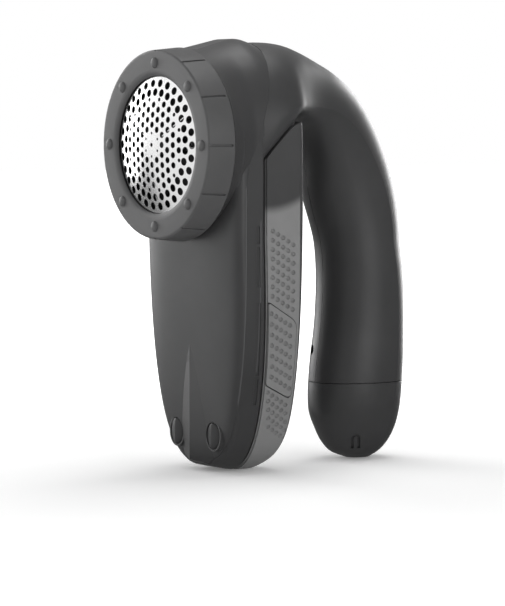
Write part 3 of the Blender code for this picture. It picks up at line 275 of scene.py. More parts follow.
def rod(name: str, ends: Sequence[Sequence[float]], radius: float, sides: int) -> Solid:
    """A round bar: circles of the radius, square to the line from one end to the other."""
    start, end = Vector(ends[0]), Vector(ends[1])
    turn = np.array((end - start).to_track_quat("Z", "Y").to_matrix())
    angle = around(sides)
    circle = radius * spread(np.cos(angle), np.sin(angle), 0 * angle) @ turn.T
    return Solid.skin(name, np.array([start, end])[:, None] + circle)


def softened(outline: Array | Outline, size: Array | float, steps: int = 4) -> Array:
    """Rounds every corner of a closed outline.

    A corner C becomes the curve (1 - t)^2 A + 2 t (1 - t) C + t^2 B, where A and B lie on
    its two sides, the given size away from it or 45% along a shorter side.

    Args:
        outline: corner points of a closed outline.
        size: how far from each corner its curve starts, for all or for each.
        steps: stretches in each curve.

    Returns:
        The rounded outline as (count, 2).
    """
    corner = np.asarray(outline, float)
    ends = []
    for turn in (1, -1):
        side = np.roll(corner, turn, axis=0) - corner
        length = np.linalg.norm(side, axis=1, keepdims=True)
        ends.append(corner + side / length * np.minimum(size, 0.45 * length))
    t = np.linspace(0, 1, steps + 1)[:, None]
    start, end = ends[0][:, None], ends[1][:, None]
    return ((1 - t) ** 2 * start + 2 * t * (1 - t) * corner[:, None] + t**2 * end).reshape(-1, 2)


def evenly(line: Array, count: int) -> Array:
    """Points spaced evenly along a polyline: each coordinate read at equal shares of its length."""
    length = np.concatenate([[0], np.cumsum(np.linalg.norm(np.diff(line, axis=0), axis=1))])
    at = np.linspace(0, length[-1], count)
    return np.stack([np.interp(at, length, column) for column in line.T], axis=-1)


def smoothly(places: Array, values: Array, at: Array) -> Array:
    """A smooth curve through keys: the cubic with the keys' own slopes between each pair.

    Args:
        places: where the keys lie, rising.
        values: one row of numbers for each key.
        at: where the curve is read.

    Returns:
        One row of numbers for each place in at.
    """
    slopes = np.gradient(values, places, axis=0)
    i = np.clip(np.searchsorted(places, at, side="right") - 1, 0, len(places) - 2)
    span = (places[i + 1] - places[i])[:, None]
    t = (at - places[i])[:, None] / span
    start = (1 + 2 * t) * (1 - t) ** 2 * values[i] + t * (1 - t) ** 2 * span * slopes[i]
    end = t**2 * (3 - 2 * t) * values[i + 1] + t**2 * (t - 1) * span * slopes[i + 1]
    return start + end


def quarter(fine: int, power: float | Array) -> tuple[Array, Array]:
    """A quarter of a superellipse of size 1, as (cos a, sin a) to the power 2 / power."""
    angle = np.linspace(0, np.pi / 2, fine)
    return np.clip(np.cos(angle), 0, 1) ** (2 / power), np.sin(angle) ** (2 / power)


# Large forms that several pieces share


@dataclass(frozen=True)
class Arm:
    """The long rounded form of arm and head, seen from the front as a stadium with full ends."""

    half_width: float = 0.037
    round_start: float = 0.107
    round_power: float = 2.68
    head_height: float = 0.042
    head_power: float = 2.2
    foot_cut: float = 0.0008
    foot_round: float = 0.030
    foot_flat: Pair = (0.0420, 0.0450)
    foot_run: Pair = (0.0229, 0.0116)
    foot_lift: Pair = (0.0053, 0.0045)
    crest_y: float = 0.0173
    lean: float = 0.0036
    crown: float = 0.0075
    crown_power: float = 3.2
    rear_y: float = 0.0566
    rear_lean: float = 0.0011
    lean_z: Pair = (0.050, 0.070)
    corner: float = 0.003
    level_y: tuple[float, float, int] = (0.0295, 0.0530, 18)
    level_gap: float = 0.0004

    def half_x(self, z: Array) -> Array:
        """Half the width at a height: w (1 - drop^p)^(1/p) below the straight part."""
        drop = np.clip((self.round_start - self.foot_cut - z) / self.round_start, 0, 1)
        return self.half_width * (1 - drop**self.round_power) ** (1 / self.round_power)

    def front(self, x: Array, z: Array) -> Array:
        """The y of the crowned front at (x, z), below the start of the rounded end.

        The share of the way from spine to outline is k = (u^p + v^p)^(1/p), where u is x in
        half widths and v the share of the way down. The crown is as in the solid.
        """
        fall = np.clip((self.round_start - z) / self.round_start, 0, 1)
        down = np.clip((self.round_start - self.foot_cut - z) / self.round_start, 0, 1)
        power = self.round_power
        k = (np.abs(x / self.half_width) ** power + down**power) ** (1 / power)
        crown = 1 - (1 - np.minimum(k, 1) ** self.crown_power) ** (1 / self.crown_power)
        return self.crest_y + self.lean * fall + self.crown * crown

    def lifted(self, grid: Array) -> Array:
        """Points with the foot's rounding from front to rear, and with the rear's slight lean.

        Below the height r a point goes up by lift(y) (1 - z / r)^2. The lift is zero on
        the foot's flat, and grows by the square of the way ahead of it or behind it. The
        rear goes back by the lean over the 70 mm above z = 50 mm.
        """
        y, z = grid[..., 1], grid[..., 2]
        ahead = np.clip((self.foot_flat[0] - y) / self.foot_run[0], 0, 1)
        behind = np.clip((y - self.foot_flat[1]) / self.foot_run[1], 0, 1)
        lift = self.foot_lift[0] * ahead**2 + self.foot_lift[1] * behind**2
        rise = lift * np.clip(1 - z / self.foot_round, 0, 1) ** 2
        (low, climb), start = self.lean_z, self.foot_flat[1]
        share = np.clip((z - low) / climb, 0, 1) * np.clip((y - start) / (self.rear_y - start), 0, 1)
        return spread(grid[..., 0], y + self.rear_lean * share, z + rise)

    def outline(self, inset: float, columns: int) -> Array:
        """The form's outline in (x, z), made smaller by inset.

        A superellipse quarter runs from the foot to the straight side, and another from
        there over the head. The points are spaced evenly, and mirrored to the left.

        Args:
            inset: how far inside the outline lies.
            columns: points of the right half, both ends included.

        Returns:
            The closed outline, from the foot's middle round.
        """
        wide = self.half_width - inset
        across, down = quarter(600, self.round_power)
        level = self.round_start - self.foot_cut - (self.round_start - inset) * down[::-1]
        low = np.stack([wide * across[::-1], np.maximum(level, inset)], -1)
        across, up = quarter(300, self.head_power)
        high = np.stack([wide * across, RING_Z + (self.head_height - inset) * up], -1)
        return both_sides(evenly(np.vstack([low, high]), columns))

    def solid(
        self,
        name: str,
        inset: float = 0.0,
        rear: float | None = None,
        columns: int = 120,
        crown_rows: int = 20,
    ) -> Solid:
        """The whole form: a crowned front, straight sides and a rounded rear edge.

        The front is c (1 - (1 - k^p)^(1/p)) behind its crest, k being the share of the
        way from the spine to the outline, and leans back towards the foot.

        Args:
            name: name of the new object.
            inset: how far inside the form the surface lies.
            rear: y of the rear face, before the inset.
            columns: points of half an outline.
            crown_rows: rows over the front.

        Returns:
            The solid.
        """
        rear = self.rear_y if rear is None else rear
        outline = self.outline(inset, columns)
        x, z = outline.T
        middle = np.clip(z, self.round_start, RING_Z)
        turn = np.linspace(0, np.pi / 2, crown_rows)[:, None]
        k = np.sin(turn) ** (2 / self.crown_power)
        drop = self.crown * (1 - np.clip(np.cos(turn), 0, 1) ** (2 / self.crown_power))
        height = middle + (z - middle) * k
        fall = np.clip((self.round_start - height) / self.round_start, 0, 1)
        front = spread(x * k, self.crest_y + self.lean * fall + drop + inset, height)
        level = np.linspace(*self.level_y)
        first = front[-1, :, 1].max() + self.level_gap
        last = rear - inset - self.corner - self.level_gap
        rows = [(0.0, back) for back in level[(level > first) & (level < last)]]
        for a in np.linspace(0, np.pi / 2, 7):
            rows.append((1 - math.cos(a), rear - inset - self.corner * (1 - math.sin(a))))
        behind = []
        for pull, back in rows:
            ring = self.outline(inset + self.corner * pull, columns)
            behind.append(spread(ring[:, 0], back, ring[:, 1]))
        return Solid.skin(name, self.lifted(np.concatenate([front, behind])))


@dataclass(frozen=True)
class Neck:
    """The form behind the guard ring: a circle that wraps the head and falls to the seam."""

    front_r: float = 0.0434
    half_width: float = 0.0374
    top: float = 0.0488
    top_y: float = 0.040
    front_y: float = 0.0141
    tuck: float = 0.004
    fall: float = 0.0075
    fall_run: float = 0.016
    flat: Pair = (0.00105, 0.00045)
    grown_at: float = 0.62
    sections: tuple[int, int] = (25, 8)

    def solid(self, name: str, inset: float = 0.0, front: float | None = None, fine: int = 2) -> Solid:
        """Sections that ease from the circle to the head, with a narrow flat along the top.

        The half width and the lower height go by 1 - (1 - t / 0.62)^1.5, and the upper
        height climbs straight and levels out over the last 0.14 of the way t. Behind the top
        it falls by the 2.05th power of the distance. The flat cuts the top off level, and
        a column of points follows each of its two edges.

        Args:
            name: name of the new object.
            inset: how far inside the form the surface lies.
            front: y of the first section.
            fine: how many times the least number of points each section gets.

        Returns:
            The solid.
        """
        front = self.front_y if front is None else front
        to_top, behind = self.sections
        t = np.concatenate([np.linspace(0, 1, to_top), np.ones(behind)])
        past = np.concatenate([np.zeros(to_top), np.linspace(0, 1, behind + 1)[1:]])
        grown = 1 - np.clip(1 - t / self.grown_at, 0, 1) ** 1.5
        wide = self.front_r + (self.half_width - self.front_r) * grown - inset
        climb = (t - 0.5 * np.clip(t - 0.86, 0, 1) ** 2 / 0.14) / 0.93
        high = self.front_r + (self.top - self.front_r) * climb - inset
        high = high - self.fall * past**2.05
        low = wide - self.tuck * grown
        back = front + (self.top_y - front) * t + self.fall_run * past
        shave = (self.flat[0] + (self.flat[1] - self.flat[0]) * t) * np.minimum(1.0, 8 * t)
        edge = np.arcsin(1 - (shave + 1e-6) / high)
        spans = ((0 * edge, edge, 24), (edge, np.pi - edge, 4), (np.pi - edge, 2 * np.pi, 48))
        parts = []
        for start, end, count in spans:
            share = np.linspace(0, 1, count * fine, endpoint=False)
            parts.append(start[:, None] + (end - start)[:, None] * share)
        angle = np.hstack(parts)
        rise = np.where(np.sin(angle) > 0, high[:, None], low[:, None]) * np.sin(angle)
        rise = np.minimum(rise, (high - shave)[:, None])
        return Solid.skin(name, spread(wide[:, None] * np.cos(angle), back[:, None], RING_Z + rise))


@dataclass(frozen=True)
class Arch:
    """Arch and handle as one form, guided by sections square to its outer line."""

    centre_y: float = 0.0573
    centre_z: float = RING_Z - 0.047
    run: float = 0.0795
    rise: float = 0.094
    outer_power: float = 2.05
    swell: Pair = (0.0012, 0.0007)

    def guides(self) -> Array:
        """The guide sections, one row each.

        Over the arch the outer line is a quarter of an ellipse: (run cos a, rise sin a)
        about its centre, less a shallow dip about 70 degrees and plus a low swelling about
        45 degrees. The sizes of a section are keyed by a.

        Returns:
            Rows of y, z, lean, half width, crease drop, depth, bulge, inner power, crease angle.
        """
        level, upright = 0.0, np.pi / 2
        head = np.array(
            [
                (0.0240, RING_Z + 0.0425, level, 0.0367, 0.0540, 0.0600, 0, 4.0, 1),
                (0.0353, RING_Z + 0.0450, level, 0.0367, 0.0435, 0.0560, 0, 4.0, 2),
                (0.0483, RING_Z + 0.0466, level, 0.0362, 0.0326, 0.0460, 0, 4.0, 14),
            ]
        )
        keys = np.array(
            [
                (90, 0.0340, 0.0295, 0.0352, 0.0000, 4.5, 15),
                (75, 0.0272, 0.0268, 0.0330, 0.0000, 4.2, 18),
                (60, 0.0222, 0.0222, 0.0338, 0.0002, 3.6, 21),
                (45, 0.0196, 0.0182, 0.0393, 0.0006, 3.0, 23),
                (30, 0.0184, 0.0156, 0.0441, 0.0010, 2.6, 24),
                (15, 0.0180, 0.0136, 0.0451, 0.0014, 2.3, 24),
                (0, 0.0182, 0.0125, 0.0421, 0.0016, 2.2, 24),
            ]
        )
        angle = np.arange(90, -1, -7.5)
        turn = np.radians(angle)
        lean = np.arctan2(np.cos(turn) / self.run, np.sin(turn) / self.rise)
        swollen = self.swell[1] * np.exp(-(((angle - 45) / 10) ** 2))
        out = swollen - self.swell[0] * np.exp(-(((angle - 70) / 9) ** 2))
        y = self.centre_y + self.run * np.cos(turn) + out * np.sin(lean)
        line = [y, self.centre_z + self.rise * np.sin(turn) + out * np.cos(lean), lean]
        bent = np.column_stack([*line, smoothly(-keys[:, 0], keys[:, 1:], -angle)])
        grip = np.array(
            [
                (0.1383, 0.0895, upright, 0.0185, 0.0122, 0.0423, 0.0017, 2.2, 24),
                (0.1391, 0.0745, upright, 0.0186, 0.0120, 0.0434, 0.0018, 2.2, 24),
                (0.1391, 0.0605, upright, 0.0187, 0.0121, 0.0447, 0.0018, 2.2, 24),
                (0.1388, 0.0495, upright, 0.0190, 0.0124, 0.0461, 0.0019, 2.2, 23),
                (0.1382, 0.0380, upright, 0.0190, 0.0128, 0.0467, 0.0019, 2.2, 22),
                (0.1375, 0.0295, upright, 0.0187, 0.0127, 0.0465, 0.0018, 2.2, 20),
                (0.1365, 0.0220, upright, 0.0178, 0.0124, 0.0451, 0.0016, 2.2, 18),
                (0.1345, 0.0145, upright, 0.0160, 0.0116, 0.0402, 0.0012, 2.2, 15),
                (0.1310, 0.0075, upright, 0.0130, 0.0100, 0.0330, 0.0008, 2.2, 12),
                (0.1268, 0.0028, upright, 0.0092, 0.0076, 0.0240, 0.0004, 2.2, 10),
                (0.1225, 0.0000, upright, 0.0050, 0.0048, 0.0120, 0.0000, 2.2, 10),
            ]
        )
        return np.vstack([head, bent, grip])

    def half(self, row: Array, inset: float, outer: int, inner: int) -> Array:
        """Half of a section, as (across, down) from the middle of its outer side.

        The outer side is a superellipse arc that stops at the crease angle, scaled so that
        it ends at the half width and the crease drop. The inner side is a superellipse
        quarter from there to the middle, pushed out by bulge times sin 2a.

        Args:
            row: one guide section.
            inset: how far inside the form the surface lies.
            outer: points of the outer side.
            inner: points of the inner side.

        Returns:
            The points as (count, 2).
        """
        wide, crease, depth = row[3] - inset, row[4] - inset, row[5] - 2 * inset
        stop = np.radians(row[8])
        power = 2 / self.outer_power
        a = np.linspace(np.pi / 2, stop, 300)
        x = wide * (np.clip(np.cos(a), 0, 1) / np.cos(stop)) ** power
        down = crease * (1 - np.sin(a) ** power) / (1 - np.sin(stop) ** power)
        first = evenly(np.stack([x, down], -1), outer)
        a = np.linspace(0, np.pi / 2, 400)
        x = (wide + row[6] * np.sin(2 * a)) * np.clip(np.cos(a), 0, 1) ** (2 / row[7])
        down = crease + (depth - crease) * np.sin(a) ** (2 / row[7])
        return np.vstack([first, evenly(np.stack([x, down], -1), inner)[1:]])

    def solid(
        self, name: str, inset: float = 0.0, between: int = 4, outer: int = 22, inner: int = 26
    ) -> Solid:
        """The whole form, skinned through sections read smoothly between the guides.

        Args:
            name: name of the new object.
            inset: how far inside the form the surface lies.
            between: sections from one guide to the next.
            outer: points of the outer side of a section.
            inner: points of its inner side.

        Returns:
            The solid.
        """
        guides = self.guides()
        guides = guides[(guides[:, 1] >= inset) & (guides[:, 3] >= 2.5 * inset)]
        step = np.linalg.norm(np.diff(guides[:, :2], axis=0), axis=1)
        place = np.concatenate([[0], np.cumsum(step)])
        count = len(guides)
        at = np.interp(np.arange((count - 1) * between + 1) / between, np.arange(count), place)
        sections = smoothly(place, guides, at)
        rows = []
        for row in sections:
            ring = both_sides(self.half(row, inset, outer, inner))
            reach = ring[:, 1] + inset
            y = row[0] - reach * math.sin(row[2])
            rows.append(spread(ring[:, 0], y, row[1] - reach * math.cos(row[2])))
        return Solid.skin(name, np.array(rows))


@dataclass(frozen=True)
class Layout:
    """Lines and places that the pieces of the case share, in (y, z)."""

    seam_y: float = 0.0248
    seam_bend: float = RING_Z - 0.0195
    seam_round: float = 0.0141
    seam_slope: float = 0.42
    seam_gap: float = 0.0001
    groove_y: float = 0.0346
    groove: float = 0.0007
    groove_lean: float = 0.0030
    channel_y: Pair = (-0.0016, 0.0007)
    channel_depth: float = 0.0008
    channel_top: float = RING_Z + 0.004
    box_edge: tuple[Pair, ...] = ((0.0392, -0.002), (0.045, 0.0036), (0.0515, 0.0090))
    box_edge_ends: Pair = (-0.0062, 0.0114)
    lean_top: float = 0.107
    web: float = 0.0018
    bay_bottom: float = RING_Z - 0.020
    bay_rear: float = 0.0536
    bay_half_width: float = 0.0343
    cap_seam: float = 0.0368
    jack: Pair = (-0.0065, 0.0516)
    jack_y: Pair = (0.0966, 0.1024)
    jack_r: float = 0.0032
    jack_mouth: float = 0.0023
    stud: Pair = (0.0144, 0.0171)
    stud_half: Pair = (0.0048, 0.0059)
    stud_y: float = 0.0209
    switch_angle: float = math.radians(28)
    switch_travel: float = 0.003
    screws: tuple[Pair, ...] = ((0.064, 0.182), (0.088, 0.170), (0.110, 0.141), (0.0318, 0.012))

    def seam(self, offset: float) -> list[Pair]:
        """The parting line of front cover and housing from the top down.

        With s above the bend, the line lies s^2 / 2r further back while s is less than r,
        and s - r / 2 above that, both times the slope.
        """
        r = self.seam_round
        rise = np.concatenate([[FAR], np.linspace(r, 0, 14), [-FAR]])
        past = np.where(rise < r, np.clip(rise, 0, 1) ** 2 / (2 * r), rise - r / 2)
        back = self.seam_y + offset + self.seam_slope * past
        return list(zip(back, self.seam_bend + rise))

    def leaning(self, z: Array | float) -> Array | float:
        """How far the groove and what runs along it lean back at a height."""
        return self.groove_lean * np.clip((self.lean_top - z) / self.lean_top, 0, 2)

    def groove_line(self, offset: float, top: float) -> list[Pair]:
        """A line along the groove before the lint box, from the foot up."""
        y = self.groove_y + offset
        return [(y + 2 * self.groove_lean, -self.lean_top), (y, self.lean_top), (y, top)]

    def ahead_of_groove(self, name: str, offset: float = 0.0) -> Solid:
        """Everything in front of the groove, moved backwards by an offset."""
        line = self.groove_line(offset, FAR) + [(-FAR, FAR), (-FAR, -self.lean_top)]
        return prism(name, line, (-FAR, FAR))

    def channel(self, arm: Arm) -> Solid:
        """The shallow channel along the groove: what lies between its edges, outside its floor."""
        top = self.channel_top
        front, rear = (self.groove_line(self.groove + shift, top) for shift in self.channel_y)
        slab = prism("channel", rear + front[::-1], THROUGH)
        floor = arm.solid("channel_floor", self.channel_depth, rear=0.08, columns=100, crown_rows=6)
        return slab.cut(floor)

    def box_side(self, name: str, gap: float, rear: float) -> Solid:
        """The room of the lint box: behind the groove and below its slanting upper edge."""
        low, high = self.box_edge_ends
        keys = np.array([(self.groove_y + gap, low), *self.box_edge, (rear, high)])
        curve = smoothly(np.arange(5.0), keys, np.linspace(0, 4, 60))
        edge = evenly(curve, 28) + (0, RING_Z - gap)
        outline = self.groove_line(gap, float(edge[0, 1])) + [tuple(point) for point in edge[1:]]
        return prism(name, outline + [(rear, -self.lean_top)], (-FAR, FAR))

    def on_spine(self, arch: Arch, along: Array, across: Array, out: Array) -> Array:
        """Points by the thumb switch: along the spine, across it, and out of its surface."""
        angle = self.switch_angle
        y = arch.centre_y + arch.run * math.cos(angle)
        z = arch.centre_z + arch.rise * math.sin(angle)
        lean = math.atan2(math.cos(angle) / arch.run, math.sin(angle) / arch.rise)
        up, level = math.sin(lean), math.cos(lean)
        return spread(across, y + along * level + out * up, z - along * up + out * level)

    def switch_block(
        self, arch: Arch, name: str, size: Pair, span: Pair, shift: float = 0.0, soft: float = 0.0
    ) -> Solid:
        """A block in the frame of the thumb switch.

        Args:
            arch: the form that carries the switch.
            name: name of the new object.
            size: half length and half width.
            span: levels out of the surface.
            shift: place along the spine.
            soft: how far its upright edges are rounded.

        Returns:
            The solid.
        """
        corners = np.array([(-1, -1), (1, -1), (1, 1), (-1, 1)]) * size
        flat = softened(corners, soft) if soft else corners
        along, across = flat[:, 0] + shift, flat[:, 1]
        return Solid.skin(name, self.on_spine(arch, along, across, np.array(span)[:, None]))


# Finishes


@dataclass(frozen=True)
class Wire:
    """A shader socket that takes part in Python arithmetic."""

    graph: "Graph"
    socket: bpy.types.NodeSocket

    def math(self, operation: str, *others: "Wire | float") -> "Wire":
        """One Math node on this value and the others."""
        return self.graph.add("ShaderNodeMath", dict(enumerate((self, *others))), operation=operation)

    def __add__(self, other: "Wire | float") -> "Wire":
        """The sum."""
        return self.math("ADD", other)

    def __radd__(self, other: float) -> "Wire":
        """The sum, with the number first."""
        return self.math("ADD", other)

    def __sub__(self, other: "Wire | float") -> "Wire":
        """The difference."""
        return self.math("SUBTRACT", other)

    def __rsub__(self, other: float) -> "Wire":
        """A number less this value."""
        return self.graph.number(other).math("SUBTRACT", self)

    def __mul__(self, other: "Wire | float") -> "Wire":
        """The product."""
        return self.math("MULTIPLY", other)

    def __rmul__(self, other: float) -> "Wire":
        """The product, with the number first."""
        return self.math("MULTIPLY", other)

    def __truediv__(self, other: "Wire | float") -> "Wire":
        """The quotient."""
        return self.math("DIVIDE", other)

    def rise(self, low: float, high: float) -> "Wire":
        """A smooth rise from 0 at one value to 1 at another."""
        inputs = {"Value": self, "From Min": low, "From Max": high}
        return self.graph.add("ShaderNodeMapRange", inputs, interpolation_type="SMOOTHSTEP", clamp=True)


class Graph:
    """The nodes of one material, or of the world."""

    def __init__(self, name: str, world: bool = False) -> None:
        """Makes a material with its Principled shader, or a world with its Background.

        Args:
            name: name of the material or world.
            world: whether it is a world.
        """
        self.material = (bpy.data.worlds if world else bpy.data.materials).new(name)
        self.material.use_nodes = True
        self.tree = self.material.node_tree
        self.shader = self.tree.nodes["Background" if world else "Principled BSDF"]

    def add(
        self,
        kind: str,
        inputs: Mapping[str | int, "Wire | float | tuple[float, ...]"] | None = None,
        out: str | int = 0,
        **settings: object,
    ) -> Wire:
        """Adds one node.

        Args:
            kind: the node's type.
            inputs: value or wire of each socket, by name or number.
            out: the output that is handed back.
            settings: the node's own settings, which are set first.

        Returns:
            The wire of that output.
        """
        node = self.tree.nodes.new(kind)
        for key, value in settings.items():
            setattr(node, key, value)
        for key, value in (inputs or {}).items():
            self.feed(node.inputs[key], value)
        return Wire(self, node.outputs[out])

    def feed(self, socket: bpy.types.NodeSocket, value: "Wire | float | tuple[float, ...]") -> None:
        """Links a wire to a socket, or sets the socket's own value."""
        if isinstance(value, Wire):
            self.tree.links.new(value.socket, socket)
        else:
            socket.default_value = value

    def number(self, value: float) -> Wire:
        """A number as a wire."""
        wire = self.add("ShaderNodeValue")
        wire.socket.default_value = value
        return wire

    def place(self) -> Wire:
        """The point's place on the piece."""
        return self.add("ShaderNodeTexCoord", out="Object")

    def parts(self, vector: Wire) -> tuple[Wire, Wire, Wire]:
        """The three numbers of a vector."""
        outputs = self.add("ShaderNodeSeparateXYZ", {0: vector}).socket.node.outputs
        return tuple(Wire(self, outputs[i]) for i in range(3))

    def noise(
        self, scale: float, detail: float = 2.0, roughness: float = 0.5, at: Wire | None = None
    ) -> Wire:
        """Soft noise of a scale, read on the piece's own coordinates."""
        size = {"Scale": scale, "Detail": detail, "Roughness": roughness}
        return self.add("ShaderNodeTexNoise", {"Vector": at or self.place()} | size, out="Fac")

    def mix(self, share: Wire, first: Wire | Colour, second: Wire | Colour) -> Wire:
        """A blend of two colours."""
        return self.add("ShaderNodeMix", {0: share, 6: first, 7: second}, out=2, data_type="RGBA")

    def tones(self, share: Wire, colour: Triple, low: float, high: float) -> Wire:
        """A blend of two tones of a colour, made by a low and a high gain."""
        return self.mix(share, shade(colour, low), shade(colour, high))

    def bump(self, strength: float, distance: float, height: Wire, normal: Wire | None = None) -> Wire:
        """The normal of a surface with a relief, on top of another normal."""
        inputs = {"Strength": strength, "Distance": distance, "Height": height}
        return self.add("ShaderNodeBump", inputs | ({"Normal": normal} if normal else {}))

    def rounded_edge(self, radius: float) -> tuple[Wire, Wire]:
        """Rounded edges: the softened normal, and a mask that is 1 on the edge, which the plastics use
        for a painted highlight.
        """
        soft = self.add("ShaderNodeBevel", {"Radius": radius}, samples=6)
        true = self.add("ShaderNodeNewGeometry", out="Normal")
        return soft, (1.0 - self.dot(soft, true)).rise(0.01, 0.25)

    def dot(self, first: Wire, second: Wire | Triple) -> Wire:
        """The dot product of two vectors."""
        inputs = {0: first, 1: second}
        return self.add("ShaderNodeVectorMath", inputs, out="Value", operation="DOT_PRODUCT")

    def finish(self, **sockets: "Wire | float | tuple[float, ...]") -> bpy.types.Material:
        """Sets the shader's sockets, with a low line for each space, and hands the material back."""
        for key, value in sockets.items():
            self.feed(self.shader.inputs[key.replace("_", " ")], value)
        return self.material


def shade(colour: Triple, gain: float = 1.0) -> Colour:
    """A colour with its opacity, made lighter or darker by a gain."""
    return (*(min(1.0, channel * gain) for channel in colour), 1.0)


@dataclass(frozen=True)
class MouldedPlastic:
    """Matt moulded plastic: fine spark-eroded grain, faint mottling, and a painted highlight that makes
    its edges paler.
    """

    name: str
    colour: Triple
    roughness: float = 0.42
    grain: float = 0.35
    grain_scale: float = 2600.0
    grain_depth: float = 0.00006
    tones: Pair = (0.94, 1.06)
    edge: float = 0.00035
    edge_highlight_gain: float = 1.5

    def colour_of(self, graph: Graph) -> Wire:
        """The base colour: two close shades in soft clouds."""
        return graph.tones(self.cloud(graph), self.colour, *self.tones)

    def cloud(self, graph: Graph) -> Wire:
        """Soft clouds between 0 and 1."""
        return graph.noise(38, 3, 0.6).rise(0.3, 0.7)

    def material(self) -> bpy.types.Material:
        """Builds the material.

        Returns:
            The material, with grain in Normal, mottling in Base Color and Roughness, and a painted edge
            highlight in Base Color.
        """
        graph = Graph(self.name)
        soft, edge = graph.rounded_edge(self.edge)
        # Painted highlight: the colour turns paler on rounded edges, as where they catch the light.
        colour = graph.mix(edge * 0.55, self.colour_of(graph), shade(self.colour, self.edge_highlight_gain))
        dust = graph.noise(160, 4, 0.65)
        rough = self.roughness + (dust - 0.5) * 0.14
        grain = graph.noise(self.grain_scale, 2, 0.6)
        bump = graph.bump(self.grain, self.grain_depth, grain, soft)
        return graph.finish(Base_Color=colour, Roughness=rough, Normal=bump, Specular_IOR_Level=0.5)


@dataclass(frozen=True)
class CasePlastic(MouldedPlastic):
    """The case's plastic, with two upright edges whose highlights are painted into its colour as pale
    lines.
    """

    # Painted highlight lines: half width, fade at the ends, x range on the sides, tone, and each edge's
    # y and heights.
    half: float = 0.00028
    fade: float = 0.002
    side_x: Pair = (0.0300, 0.0310)
    highlight_tone: float = 1.9
    edges: tuple[Triple, ...] = (
        (0.02445 + FACE_Y, 0.024, RING_Z - 0.0200),
        (0.03255 + FACE_Y, 0.048, 0.1145),
    )

    def colour_of(self, graph: Graph) -> Wire:
        """The base colour, with painted highlights: paler within half a line's width of each edge,
        between its two heights.
        """
        x, y, z = graph.parts(graph.place())
        pale = graph.number(0.0)
        # Painted highlight: a pale line along each edge, as on a rim that catches the light.
        for place, low, high in self.edges:
            near = 1.0 - (y - place).math("ABSOLUTE").rise(self.half * 0.5, self.half * 1.5)
            between = z.rise(low - self.fade, low) * (1.0 - z.rise(high, high + self.fade))
            pale = pale + near * between
        side = x.math("ABSOLUTE").rise(*self.side_x)
        return graph.mix(pale * side, super().colour_of(graph), shade(self.colour, self.highlight_tone))


@dataclass(frozen=True)
class PanelPlastic(MouldedPlastic):
    """The lint box's plastic: dark like the case above, pale and matt on the gripped side panels, with
    painted shade over the panels' tops where they fade softly into the dark.
    """

    panel: Triple = (0.215, 0.215, 0.215)
    # The painted shade line over the panels: its height, rise towards the rear, start, run and
    # softness.
    line_z: float = 0.1202
    climb: float = 0.0044
    line_y: float = 0.0365 + FACE_Y
    line_run: float = 0.018
    blur: float = 0.0028
    rim_y: float = 0.0546 + FACE_Y
    rim_blur: float = 0.0003
    front_y: float = 0.0354 + FACE_Y
    front_blur: float = 0.0002
    lean_top: float = 0.107
    lean: float = 0.028

    def colour_of(self, graph: Graph) -> Wire:
        """The base colour: the panels' own paler tone below a soft line that curves up towards the
        rear, with painted shade darkening them above it.

        The pale panel stops short of the rear rim and of the leaning front edge.
        """
        _, y, z = graph.parts(graph.place())
        # Painted shade: above a soft line that rises towards the rear, the pale panel darkens into the
        # box's dark tone.
        back = (y - self.line_y) / self.line_run
        level = z - back * back * self.climb
        low = 1.0 - level.rise(self.line_z - self.blur, self.line_z + self.blur)
        low = low * (1.0 - y.rise(self.rim_y - self.rim_blur, self.rim_y + self.rim_blur))
        front = y - (self.lean_top - z).math("MAXIMUM", 0.0) * self.lean
        low = low * front.rise(self.front_y - self.front_blur, self.front_y + self.front_blur)
        cloud = self.cloud(graph)
        dark = graph.tones(cloud, self.colour, *self.tones)
        return graph.mix(low, dark, graph.tones(cloud, self.panel, 0.95, 1.05))


@dataclass(frozen=True)
class Steel:
    """Bright steel: fine scratches in soft noise, and slightly varied gloss."""

    name: str
    colour: Triple = (0.78, 0.78, 0.79)
    roughness: float = 0.24
    scratch: float = 0.12
    scratch_depth: float = 0.00003
    edge: float = 0.00012

    def material(self) -> bpy.types.Material:
        """Builds the material.

        Returns:
            The material, with scratches in Normal, and clouds in Roughness.
        """
        graph = Graph(self.name)
        soft, _ = graph.rounded_edge(self.edge)
        cloud = graph.noise(90, 3, 0.6)
        colour = graph.tones(cloud, self.colour, 0.94, 1.04)
        rough = self.roughness + (cloud - 0.5) * 0.12
        bump = graph.bump(self.scratch, self.scratch_depth, graph.noise(1800, 3, 0.7), soft)
        return graph.finish(Base_Color=colour, Metallic=1.0, Roughness=rough, Normal=bump)


